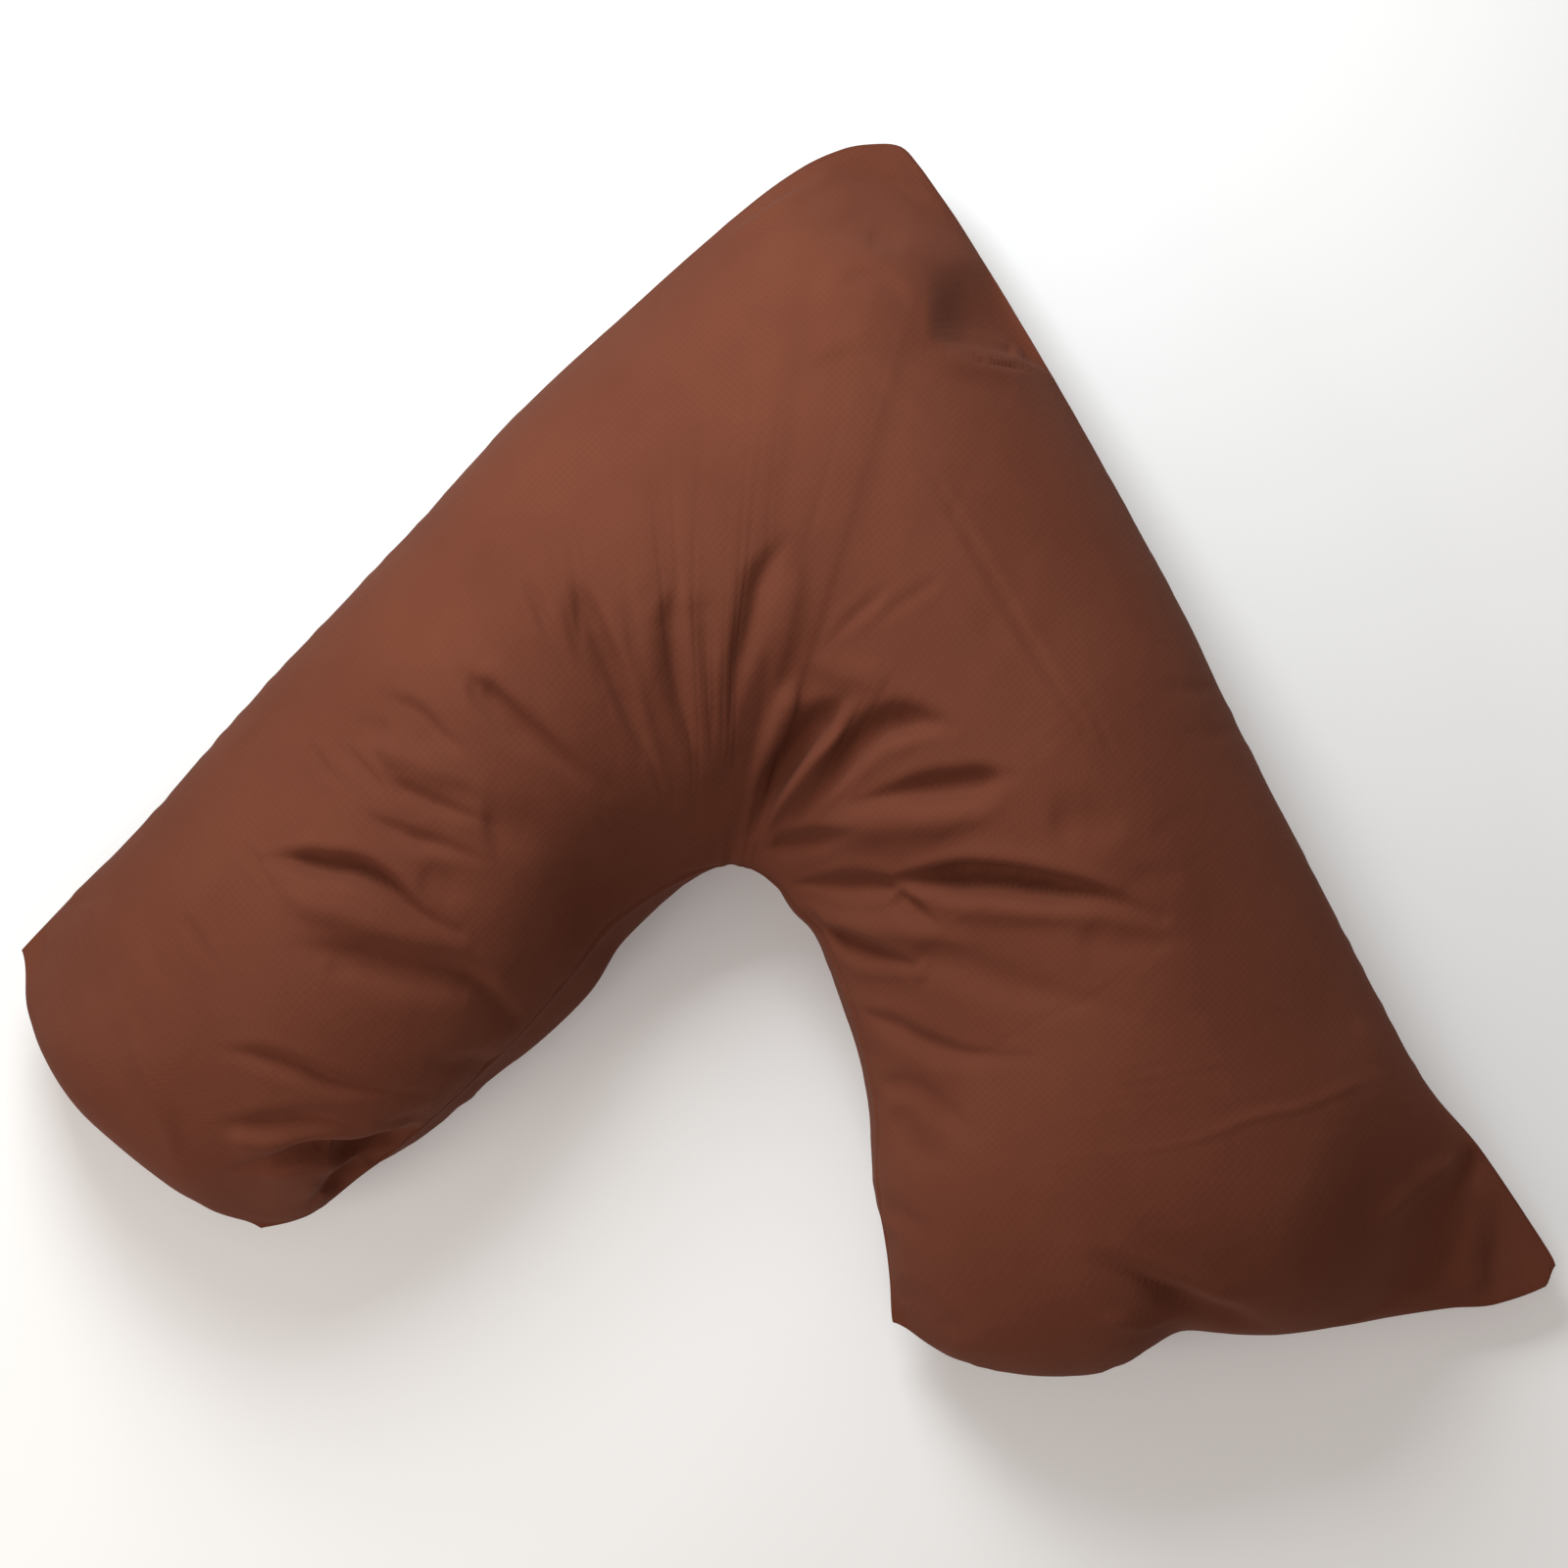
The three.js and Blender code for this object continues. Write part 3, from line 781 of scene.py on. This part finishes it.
@dataclass(frozen=True)
class PlainWeaveCotton:
    """Plain-woven cotton, piece-dyed and washed.

    To the eye it is a warm, matte brown: the dyed fibres scatter the light, so that folds show by their shade
    alone, with hardly a gloss and only a faint fuzz along the edges. The yarns are a third of a millimetre
    apart, too fine to show on a whole pillow, so the weave is drawn at a pitch of 2.6 mm, which just reads as
    a fine texture, with a little painted shade in its dips and painted light on its tops.
    """

    light: str = "#6f3c29"
    body: str = "#6c3927"
    shade: str = "#683624"
    # where shade, body and light lie in the noise of the patches
    tone_stops: tuple[float, float, float] = (0.32, 0.5, 0.7)
    yarn_mm: float = 2.6
    yarn_strength: float = 0.25
    yarn_relief_mm: float = 0.12
    yarn_painted_shade: tuple[float, float] = (0.97, 1.03)  # painted shade in the dips between the yarns and painted light on their tops: how much darker and paler they make the colour
    slub: NoisePattern = NoisePattern(9.0, 3.0, 0.55, 0.0, 0.35, 0.5)  # uneven yarns
    crinkle: NoisePattern = NoisePattern(22.0, 4.0, 0.5, 0.6, 0.5, 1.0)  # washed and not ironed
    patches: NoisePattern = NoisePattern(90.9, 3.0, 0.6)  # uneven dye
    roughness: float = 0.92
    ior: float = 1.53
    specular: float = 0.2
    sheen: float = 0.02
    sheen_roughness: float = 0.5
    sheen_tint: str = "#d9b7a4"

    def material(self, name: str) -> bpy.types.Material:
        """Make the cloth's material.

        Args:
            name: The material's name.

        Returns:
            The node material.
        """
        material = bpy.data.materials.new(name)
        material.use_nodes = True
        tree = material.node_tree
        tree.nodes.clear()
        place = add_node(tree, "ShaderNodeTexCoord").outputs["Object"]
        heights = [self.weave(tree)]
        for pattern in (self.slub, self.crinkle, self.patches):
            values = {"Scale": 1 / (pattern.size_mm * MM), "Detail": pattern.detail}
            values |= {"Roughness": pattern.roughness, "Distortion": pattern.distortion}
            heights.append(add_node(tree, "ShaderNodeTexNoise", {}, values, {"Vector": place}).outputs["Fac"])
        weave, slub, crinkle, patches = heights

        reliefs = (
            (weave, self.yarn_strength, self.yarn_relief_mm),
            (slub, self.slub.strength, self.slub.relief_mm),
            (crinkle, self.crinkle.strength, self.crinkle.relief_mm),
        )
        below = {}
        for height, strength, relief_mm in reliefs:
            values = {"Strength": strength, "Distance": relief_mm * MM}
            bump = add_node(tree, "ShaderNodeBump", {}, values, {"Height": height, **below})
            below = {"Normal": bump.outputs["Normal"]}

        values = {
            "Roughness": self.roughness,
            "IOR": self.ior,
            "Specular IOR Level": self.specular,
            "Sheen Weight": self.sheen,
            "Sheen Roughness": self.sheen_roughness,
            "Sheen Tint": linear(self.sheen_tint),
        }
        links = {"Base Color": self.colour(tree, patches, weave), **below}
        shader = add_node(tree, "ShaderNodeBsdfPrincipled", {}, values, links)
        add_node(tree, "ShaderNodeOutputMaterial", {}, {}, {"Surface": shader.outputs["BSDF"]})
        return material

    def weave(self, tree: bpy.types.NodeTree) -> bpy.types.NodeSocket:
        """Draw over-and-under yarns in the cloth's own plane.

        Args:
            tree: The material's node tree.

        Returns:
            A height from -1 to 1, one bump where a warp yarn is on top and one dip where it is under.
        """
        cloth = add_node(tree, "ShaderNodeUVMap", {"uv_map": CLOTH_LAYER}).outputs["UV"]
        parts = add_node(tree, "ShaderNodeSeparateXYZ", {}, {}, {0: cloth})
        per_metre = math.pi / (self.yarn_mm * MM)
        waves = {}
        for number, axis in enumerate(("X", "Y")):
            links = {0: parts.outputs[axis]}
            turns = add_node(tree, "ShaderNodeMath", {"operation": "MULTIPLY"}, {1: per_metre}, links)
            wave = add_node(tree, "ShaderNodeMath", {"operation": "SINE"}, {}, {0: turns.outputs[0]})
            waves[number] = wave.outputs[0]
        return add_node(tree, "ShaderNodeMath", {"operation": "MULTIPLY"}, {}, waves).outputs[0]

    def colour(
        self, tree: bpy.types.NodeTree, patches: bpy.types.NodeSocket, weave: bpy.types.NodeSocket
    ) -> bpy.types.NodeSocket:
        """Colour the cloth in soft patches, with painted shade in the dips between its yarns and painted
        light on their tops.

        Args:
            tree: The material's node tree.
            patches: The noise of the uneven dye.
            weave: The height of the yarns.

        Returns:
            The colour.
        """
        tone = add_node(tree, "ShaderNodeValToRGB", {}, {}, {"Fac": patches})
        ramp = tone.color_ramp
        low, middle, high = self.tone_stops
        ramp.elements[0].position, ramp.elements[0].color = low, linear(self.shade)
        ramp.elements[1].position, ramp.elements[1].color = high, linear(self.light)
        ramp.elements.new(middle).color = linear(self.body)
        # painted shade where a yarn dips under and painted light where it is on top, following the weave's
        # height
        darker, paler = self.yarn_painted_shade
        values = {"From Min": -1.0, "From Max": 1.0, "To Min": darker, "To Max": paler}
        painted_yarn_shade = add_node(tree, "ShaderNodeMapRange", {}, values, {"Value": weave}).outputs["Result"]
        settings = {"data_type": "RGBA", "blend_type": "MULTIPLY"}
        # the mix node's share is input 0, its two colours are inputs 6 and 7, and its colour is output 2
        links = {6: tone.outputs["Color"], 7: painted_yarn_shade}
        return add_node(tree, "ShaderNodeMix", settings, {0: 1.0}, links).outputs[2]


@dataclass(frozen=True)
class ClothSimulation:
    """A short run of Blender's cloth solver: light cotton, blown up a little from inside."""

    frames: int = 20
    quality: int = 5
    mass: float = 0.3
    tension: float = 15.0
    compression: float = 5.0
    shear: float = 3.0
    bending: float = 0.05
    pressure: float = 4.0
    growth: float = 0.05  # how much longer cloth to spare is than the form, as a share

    def run(self, piece: bpy.types.Object, held: Array, tight: Array) -> Array:
        """Simulate a piece and take it away again.

        Args:
            piece: The piece of cloth.
            held: How firmly each of its points is held in place, from 0 to 1.
            tight: 1 where the cloth is cut to size, down to 0 where it has most to spare.

        Returns:
            How far each point moved, in millimetres.
        """
        before = mesh_points(piece.data)
        for name, weights in (("held", held), ("tight", tight)):
            group = piece.vertex_groups.new(name=name)
            for index, weight in enumerate(weights.ravel()):
                if weight > 0:
                    group.add([index], float(weight), "REPLACE")
        cloth = piece.modifiers.new("settle", "CLOTH")
        cloth.collision_settings.use_collision = False
        setting = cloth.settings
        setting.quality = self.quality
        setting.mass = self.mass
        setting.tension_stiffness = self.tension
        setting.compression_stiffness = self.compression
        setting.shear_stiffness = self.shear
        setting.bending_stiffness = self.bending
        setting.use_pressure = True
        setting.uniform_pressure_force = self.pressure
        setting.shrink_min = -self.growth
        setting.vertex_group_shrink = "tight"
        setting.vertex_group_mass = "held"
        setting.effector_weights.gravity = 0.0
        scene = bpy.context.scene
        for frame_number in range(1, self.frames + 1):
            scene.frame_set(frame_number)
        settled = piece.evaluated_get(bpy.context.evaluated_depsgraph_get())
        move = (mesh_points(settled.data) - before) / MM
        scene.frame_set(1)
        bpy.data.objects.remove(piece)
        return move


@dataclass
class FilledCase:
    """The pillow as it shows: both panels of its case, sewn edge to edge and filled tight. Millimetres."""

    form: PillowForm = field(default_factory=PillowForm)
    finish: PlainWeaveCotton = field(default_factory=PlainWeaveCotton)
    wrinkles: Wrinkles = field(default_factory=Wrinkles)
    simulation: ClothSimulation = field(default_factory=ClothSimulation)
    # the mesh
    rows: int = 436
    end_rows: int = 46
    front_columns: int = 140
    back_columns: int = 44
    # the front's relief
    seam_guard: float = 6.0  # the strip beside the seams over which relief fades in
    heap_edge: float = 0.5  # the lumps are full where the sine of the panel's arc reaches this
    heap_end: float = 60.0  # how far from the arms' ends they are full
    narrowest_settled: float = 6.5  # the simulation takes in the folds of at least this width
    share_before: float = 0.3  # share of the folds' depth that goes in before it
    share_after: float = 0.9  # share that goes in after it
    # the simulated movement
    settle_cap: float = 8.0  # the most that a point may move
    ease_turns: int = 40
    first_ease: float = 0.5  # how far the first turn evens out every point
    close_rows: float = 5.0  # rows closer than this are evened out in every turn
    held_height: float = 12.0  # the back is held where it lies, and let go over this height
    # where the cloth has length to spare
    bend: tuple[float, float] = (-36.0, -66.0)
    slack_reach: float = 330.0
    slack_fade: float = 0.6  # share of that reach over which it fades
    slack_inner: tuple[float, float] = (0.2, 0.45)  # shares of the arm's width: where it begins, how it grows
    slack_end: float = 120.0
    arm_slack: float = 0.35  # share of it that is left away from the bend
    # the seams
    flank: float = 105.0  # length of the panels' arc for each radian
    seam_draw: float = 2.4  # how deep the stitches draw the cloth in
    draw_unevenness: float = 0.25
    draw_from: float = 3.4  # how far from the seam the groove lies
    draw_reach: float = 2.6
    stitch_draw_length: float = 11.0
    stitch_line: int = 5  # line of the random grid that the stitches follow
    pucker: float = 0.6
    pucker_length: float = 8.5
    pucker_start: float = 6.0  # over how far from the seam they rise
    pucker_reach: float = 24.0
    pucker_change: float = 40.0  # how far from the seam a pucker runs before it changes
    pucker_line: int = 9
    sewn_end: float = 40.0  # how far from the arms' ends the long seams are drawn in fully
    # guards against dividing by nothing
    least_height: float = 1e-3
    least_move: float = 1e-6

    def row_runs(self) -> Array:
        """Space the rows: bunched where the ends dome down, and even along the outer seam between.

        Returns:
            The run of each row along the V's middle line.
        """
        dome, length = self.form.end_dome, self.form.length
        bunched = dome * (1 - np.cos(np.arange(self.end_rows) / self.end_rows * np.pi / 2))
        first, last = np.interp([dome, length - dome], self.form.runs, self.form.outer_runs)
        even = np.interp(np.linspace(first, last, self.rows + 1), self.form.outer_runs, self.form.runs)
        return np.concatenate([bunched, even, length - bunched[::-1]])

    def panels(self) -> tuple[Array, Array, Array]:
        """Lay out the fine grid of both panels.

        Returns:
            The rows' runs, and the points of the front and the back panel by row and column.
        """
        runs = self.row_runs()
        grids = []
        for side, count in ((Side.FRONT, self.front_columns), (Side.BACK, self.back_columns)):
            run, angle = np.meshgrid(runs, np.linspace(0, np.pi, count + 1), indexing="ij")
            grids.append(self.form.points(run, angle, side))
        return runs, grids[0], grids[1]

    def guard(self, runs: Array, front: Array) -> Array:
        """Keep relief off the seams.

        Args:
            runs: The rows' runs.
            front: The front's points.

        Returns:
            0 on the seams, rising to 1 a little way inside them, for each point.
        """
        wide = np.linalg.norm(front[:, -1, :2] - front[:, 0, :2], axis=-1)[:, None]
        angle = np.linspace(0, np.pi, front.shape[1])[None, :]
        from_seam = wide * np.sin(angle) ** 2 / 4
        from_end = self.form.from_end(runs)[:, None]
        return smooth(np.minimum(from_seam, from_end) / self.seam_guard)

    def build(self) -> bpy.types.Object:
        """Build the case's mesh.

        Returns:
            The finished piece, without its material.
        """
        runs, front, back = self.panels()
        front = self.heaped(runs, front)
        wide = tuple(fold for fold in FOLDS if fold.width >= self.narrowest_settled)
        front = self.pressed(runs, front, wide, self.share_before)
        front, back = self.settle(runs, front, back)
        front = self.pressed(runs, self.dented(front), FOLDS, self.share_after)
        front, back = self.sewn(runs, front, Draw.FRONT_PUCKERS), self.sewn(runs, back, Draw.BACK_PUCKERS)
        lift = self.wrinkles.height_at(self.form, runs, front) * self.guard(runs, front)
        front = front + panel_normals(front) * lift[..., None]
        return self.mesh_object("pillow_case", front, back)

    def heaped(self, runs: Array, front: Array) -> Array:
        """Put the filling's lumps and hollows under the front.

        Args:
            runs: The rows' runs.
            front: The front's points.

        Returns:
            The points on the uneven filling.
        """
        rise = np.zeros(front.shape[:2])
        for lump in LUMPS:
            away = np.hypot(front[..., 0] - lump.x, front[..., 1] - lump.y) / lump.reach
            rise += lump.height * np.exp(-(away**2))
        angle = np.linspace(0, np.pi, front.shape[1])[None, :]
        from_end = self.form.from_end(runs)[:, None]
        front = front.copy()
        front[..., 2] += rise * smooth(np.sin(angle) / self.heap_edge) * smooth(from_end / self.heap_end)
        return front

    def dented(self, front: Array) -> Array:
        """Let the front down in its dents, by less where it is low already.

        Args:
            front: The front's points.

        Returns:
            The points let down.
        """
        across = grid_share(front.shape[1])
        seam = mix(front[:, :1, 2], front[:, -1:, 2], across[None, :])
        height = np.maximum(front[..., 2] - seam, self.least_height)
        dent = sum(dent.depth_at(front[..., 0], front[..., 1]) for dent in DENTS)
        front = front.copy()
        front[..., 2] -= dent * height / (height + dent)
        return front

    def sewn(self, runs: Array, panel: Array, puckers: Draw) -> Array:
        """Draw a panel in along its two long seams, unevenly from stitch to stitch, with puckers beside.

        Args:
            runs: The rows' runs.
            panel: The panel's points.
            puckers: Which random grid the puckers follow.

        Returns:
            The points drawn in.
        """
        angle = np.linspace(0, np.pi, panel.shape[1])
        inwards = (panel[:, -1] - panel[:, 0]) * (1, 1, 0)
        inwards /= np.linalg.norm(inwards, axis=-1, keepdims=True)
        ends = smooth(self.form.from_end(runs) / self.sewn_end)
        moved = panel.copy()
        for side, to_seam, edge in ((1, angle, panel[:, 0]), (-1, np.pi - angle, panel[:, -1])):
            arc = self.flank * to_seam
            steps = np.linalg.norm(np.diff(edge[:, :2], axis=0), axis=-1)
            along = np.concatenate([[0.0], np.cumsum(steps)])
            line = 0 * along + side + self.stitch_line
            uneven = even_noise(along / self.stitch_draw_length, line, Draw.STITCHES)
            groove = np.exp(-(((arc - self.draw_from) / self.draw_reach) ** 2))
            pull = self.seam_draw * (1 + self.draw_unevenness * uneven)[:, None] * groove[None, :]
            row, distance = np.meshgrid(along, arc, indexing="ij")
            line = distance / self.pucker_change + side + self.pucker_line
            pucker = self.pucker * even_noise(row / self.pucker_length, line, puckers)
            pucker = pucker * smooth(distance / self.pucker_start)
            pucker = pucker * np.exp(-((distance / self.pucker_reach) ** 2))
            moved += side * ((pull + pucker) * ends[:, None])[..., None] * inwards[:, None]
        return moved

    def pressed(self, runs: Array, front: Array, folds: tuple[Fold, ...], share: float) -> Array:
        """Press a set of folds into the front.

        Args:
            runs: The rows' runs.
            front: The front's points.
            folds: The folds.
            share: How much of their depth goes in.

        Returns:
            The points pressed in.
        """
        depth = FoldField(folds).depth(front[..., 0], front[..., 1]) * self.guard(runs, front)
        return front - panel_normals(front) * (share * depth)[..., None]

    def looseness(self, runs: Array, panel: Array) -> Array:
        """Tell where the case has cloth to spare: round the inside of the bend and along the inner seams.

        Args:
            runs: The rows' runs.
            panel: One panel's points.

        Returns:
            0 where the cloth is cut to size, up to 1 beside the bend, for each point.
        """
        across = grid_share(panel.shape[1])
        from_bend = np.hypot(panel[..., 0] - self.bend[0], panel[..., 1] - self.bend[1])
        near_bend = smooth((self.slack_reach - from_bend) / (self.slack_fade * self.slack_reach))
        begin, growing = self.slack_inner
        inner = smooth((across - begin) / growing)[None, :]
        from_end = self.form.from_end(runs)[:, None]
        return inner * mix(self.arm_slack, 1.0, near_bend) * smooth(from_end / self.slack_end)

    def settle(self, runs: Array, front: Array, back: Array) -> tuple[Array, Array]:
        """Let the cloth find its folds under the filling's pressure, on every other row and column.

        Args:
            runs: The rows' runs.
            front: The front panel's points.
            back: The back panel's points.

        Returns:
            Both panels' points after the simulation.
        """
        half_runs, half_front, half_back = runs[::2], front[::2, ::2], back[::2, ::2]
        split = half_front.shape[1]
        ring = np.concatenate([half_front, half_back[:, ::-1]], axis=1)
        held = np.zeros(ring.shape[:2])
        held[:, split:] = smooth(1 - half_back[..., 2][:, ::-1] / self.held_height)
        held[:, [0, split - 1, split, -1]] = 1.0
        held[[0, -1]] = 1.0
        loose = [self.looseness(half_runs, half_front), self.looseness(half_runs, half_back)[:, ::-1]]
        coarse = self.mesh_object("settling", half_front, half_back)
        move = self.simulation.run(coarse, held, 1 - np.concatenate(loose, axis=1))
        far = np.linalg.norm(move, axis=-1, keepdims=True)
        LOG.info("cloth moved %.1f mm at most, %.2f mm on average", far.max(), far.mean())
        capped = np.tanh(far / self.settle_cap)
        move = move * self.settle_cap * capped / np.maximum(far, self.least_move)
        move = self.eased(move.reshape(ring.shape), ring)
        front = front + doubled(doubled(move[:, :split], 0), 1)
        back = back + doubled(doubled(move[:, split:][:, ::-1], 0), 1)
        back[..., 2] = np.maximum(back[..., 2], 0.0)
        return front, back

    def eased(self, move: Array, ring: Array) -> Array:
        """Even out the simulated movement, most where the rows are close together.

        Args:
            move: The movement of each point, by row and column.
            ring: The points.

        Returns:
            The eased movement.
        """
        room = np.linalg.norm(np.gradient(ring, axis=0), axis=-1, keepdims=True)[1:-1]
        close = smooth(1 - room / self.close_rows)
        move = move.copy()
        for turn in range(self.ease_turns):
            share = np.maximum(close, self.first_ease) if turn == 0 else close
            move[1:-1] += share * ((move[:-2] + move[2:]) / 2 - move[1:-1])
        return move

    def mesh_object(self, name: str, front: Array, back: Array) -> bpy.types.Object:
        """Close two panels into one skin and link it into the scene.

        Args:
            name: The object's name.
            front: The front panel's points.
            back: The back panel's points, from the outer seam to the inner one as the front's are.

        Returns:
            The object, in metres.
        """
        ring = np.concatenate([front, back[:, ::-1]], axis=1)
        here = np.arange(ring.shape[0] * ring.shape[1]).reshape(ring.shape[:2])
        following = np.roll(here, -1, axis=1)
        quads = np.stack([here[:-1], following[:-1], following[1:], here[1:]], axis=-1).reshape(-1, 4)
        faces = [tuple(int(v) for v in quad) for quad in quads]
        faces += end_faces(here[0], front.shape[1], back.shape[1], True)
        faces += end_faces(here[-1], front.shape[1], back.shape[1], False)
        mesh = bpy.data.meshes.new(name)
        mesh.from_pydata((ring.reshape(-1, 3) * MM).tolist(), [], faces)
        mesh.update()
        mesh.polygons.foreach_set("use_smooth", np.ones(len(mesh.polygons), bool))
        self.lay_flat(mesh, front, back)
        piece = bpy.data.objects.new(name, mesh)
        bpy.context.scene.collection.objects.link(piece)
        return piece

    def lay_flat(self, mesh: bpy.types.Mesh, front: Array, back: Array) -> None:
        """Give the mesh the flat place of each point on its uncut cloth, in metres.

        Args:
            mesh: The mesh of the closed skin.
            front: The front panel's points.
            back: The back panel's points.
        """
        flat = []
        for panel in (front, back):
            step = np.linalg.norm(np.diff(panel, axis=1), axis=-1)
            arc = np.concatenate([np.zeros((len(panel), 1)), np.cumsum(step, axis=1)], axis=1)
            inner = panel[:, -1, :2]
            outwards = panel[:, 0, :2] - inner
            outwards /= np.linalg.norm(outwards, axis=-1, keepdims=True)
            flat.append(inner[:, None] + outwards[:, None] * (arc[:, -1:] - arc)[..., None])
        ring = np.concatenate([flat[0], flat[1][:, ::-1]], axis=1).reshape(-1, 2) * MM
        corners = np.empty(len(mesh.loops), np.int32)
        mesh.loops.foreach_get("vertex_index", corners)
        layer = mesh.uv_layers.new(name=CLOTH_LAYER)
        layer.data.foreach_set("uv", ring[corners].astype(np.float32).ravel())

    def dress(self, piece: bpy.types.Object) -> None:
        """Give the case its cloth and hand it to the frame.

        Args:
            piece: The finished case.
        """
        piece.data.materials.append(self.finish.material("brown_plain_weave"))
        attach(piece, "root")
        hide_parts("pillow")


def panel_normals(panel: Array) -> Array:
    """Find the unit normals of a panel.

    Args:
        panel: Its points by row and column.

    Returns:
        The normal at each point, facing up.
    """
    normal = np.cross(np.gradient(panel, axis=1), np.gradient(panel, axis=0))
    length = np.linalg.norm(normal, axis=-1, keepdims=True)
    normal = normal / np.maximum(length, TINY)
    return np.where(normal[..., 2:] < 0, -normal, normal)


def doubled(values: Array, axis: int) -> Array:
    """Put a smooth value half-way between each pair of neighbours.

    Args:
        values: The values.
        axis: The axis along which they are doubled.

    Returns:
        The values with the new ones between them: nine parts of each neighbour less one of each next one.
    """
    v = np.moveaxis(values, axis, 0)
    ends = np.concatenate([2 * v[:1] - v[1:2], v, 2 * v[-1:] - v[-2:-1]])
    out = np.empty((2 * len(v) - 1, *v.shape[1:]))
    out[::2] = v
    out[1::2] = (9 * (v[:-1] + v[1:]) - ends[:-3] - ends[3:]) / 16
    return np.moveaxis(out, 0, axis)


def mesh_points(mesh: bpy.types.Mesh) -> Array:
    """Read a mesh's points.

    Args:
        mesh: The mesh.

    Returns:
        A row for each point.
    """
    points = np.empty(len(mesh.vertices) * 3, np.float32)
    mesh.vertices.foreach_get("co", points)
    return points.reshape(-1, 3).astype(float)


def end_faces(ring: Array, front_size: int, back_size: int, flip: bool) -> list[tuple[int, ...]]:
    """Zip the front and the back edge of an end ring together, always stepping the one that lags.

    Args:
        ring: The ring's vertex numbers.
        front_size: How many of them are the front panel's.
        back_size: How many are the back panel's.
        flip: Whether to turn the faces over.

    Returns:
        The triangles.
    """
    front, back = ring[:front_size], ring[front_size:][::-1]
    faces, f, b = [], 0, 0
    while f < front_size - 1 or b < back_size - 1:
        lagging = f / (front_size - 1) <= b / (back_size - 1)
        step_front = b == back_size - 1 or (f < front_size - 1 and lagging)
        third = front[f + 1] if step_front else back[b + 1]
        face = (int(front[f]), int(third), int(back[b]))
        faces.append(face[::-1] if flip else face)
        f, b = (f + 1, b) if step_front else (f, b + 1)
    return faces


@dataclass(frozen=True)
class Softbox:
    """A square softbox that faces the pillow. Sizes and places are in metres."""

    name: str
    place: tuple[float, float, float]
    size: float
    watts: float
    tint: str

    def hang(self, target: Vector) -> None:
        """Hang the softbox.

        Args:
            target: The point that it faces.
        """
        lamp = bpy.data.lights.new(self.name, "AREA")
        lamp.shape = "SQUARE"
        lamp.size = self.size
        lamp.energy = self.watts
        lamp.color = linear(self.tint)[:3]
        holder = bpy.data.objects.new(self.name, lamp)
        holder.location = self.place
        holder.rotation_euler = (target - Vector(self.place)).to_track_quat("-Z", "Y").to_euler()
        holder.visible_camera = False
        bpy.context.scene.collection.objects.link(holder)


@dataclass(frozen=True)
class MattePaper:
    """The matte white paper of a studio floor: hardly any gloss, and a little light of its own.

    That light keeps the ground as pale as a cut-out one.
    """

    colour: str = "#f6f5f3"
    roughness: float = 0.9
    specular: float = 0.1
    glow: str = "#ffffff"
    glow_strength: float = 0.12

    def material(self, name: str) -> bpy.types.Material:
        """Make the paper's material.

        Args:
            name: The material's name.

        Returns:
            The node material.
        """
        material = bpy.data.materials.new(name)
        material.use_nodes = True
        shader = material.node_tree.nodes["Principled BSDF"]
        values = {
            "Base Color": linear(self.colour),
            "Roughness": self.roughness,
            "Specular IOR Level": self.specular,
            "Emission Color": linear(self.glow),
            "Emission Strength": self.glow_strength,
        }
        for socket, value in values.items():
            shader.inputs[socket].default_value = value
        return material


@dataclass
class PhotoStudio:
    """A pale floor, soft light from the left and the camera straight above. Sizes are in metres."""

    frame_width: float = 0.928  # what the picture spans at the height of the seam
    seam_height: float = 0.075
    lens: float = 85.0
    sensor: float = 36.0
    centre: tuple[float, float] = (-0.0013, -0.0147)
    floor_size: float = 8.0
    floor_drop: float = 0.0005
    paper: MattePaper = field(default_factory=MattePaper)
    sky: str = "#fff5ef"
    sky_strength: float = 0.335
    aim: tuple[float, float, float] = (0.0, 0.0, 0.08)
    softboxes: tuple[Softbox, ...] = (
        Softbox("key", (-0.34, 0.85, 0.95), 0.6, 15.1, "#f3fbff"),
        Softbox("side", (-1.15, -0.75, 0.92), 0.8, 7.5, "#fff8f2"),
    )

    def floor(self) -> None:
        """Lay the pale floor. It throws no light back onto the pillow, as a cut-out ground throws none."""
        half = self.floor_size / 2
        mesh = bpy.data.meshes.new("floor")
        corners = [(-half, -half, 0), (half, -half, 0), (half, half, 0), (-half, half, 0)]
        mesh.from_pydata(corners, [], [(0, 1, 2, 3)])
        mesh.materials.append(self.paper.material("matte_white_paper"))
        floor = bpy.data.objects.new("floor", mesh)
        floor.location.z = -self.floor_drop
        floor.visible_diffuse = False
        bpy.context.scene.collection.objects.link(floor)

    def camera(self) -> None:
        """Hang the camera straight above, with the V's point at the top of the picture."""
        data = bpy.data.cameras.new("camera")
        data.lens = self.lens
        data.sensor_width = self.sensor
        camera = bpy.data.objects.new("camera", data)
        height = self.frame_width * self.lens / self.sensor
        camera.location = (*self.centre, self.seam_height + height)
        bpy.context.scene.collection.objects.link(camera)
        bpy.context.scene.camera = camera

    def build(self) -> None:
        """Set up the floor, the light and the camera."""
        scene = bpy.context.scene
        world = bpy.data.worlds.new("studio")
        world.use_nodes = True
        background = world.node_tree.nodes["Background"]
        background.inputs["Color"].default_value = linear(self.sky)
        background.inputs["Strength"].default_value = self.sky_strength
        scene.world = world
        scene.view_settings.view_transform = "Standard"
        self.floor()
        for softbox in self.softboxes:
            softbox.hang(Vector(self.aim))
        self.camera()


def main() -> None:
    """Build the pillow and its studio, and log the frame's nodes and the case's faces."""
    logging.basicConfig(level=logging.INFO, format="%(name)s: %(message)s", stream=sys.stdout)
    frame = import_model()
    LOG.info("frame nodes: %s", sorted(frame["nodes"]))
    case = FilledCase()
    piece = case.build()
    case.dress(piece)
    LOG.info("%s: %d faces", piece.name, len(piece.data.polygons))
    PhotoStudio().build()


if __name__ == "__main__":
    main()
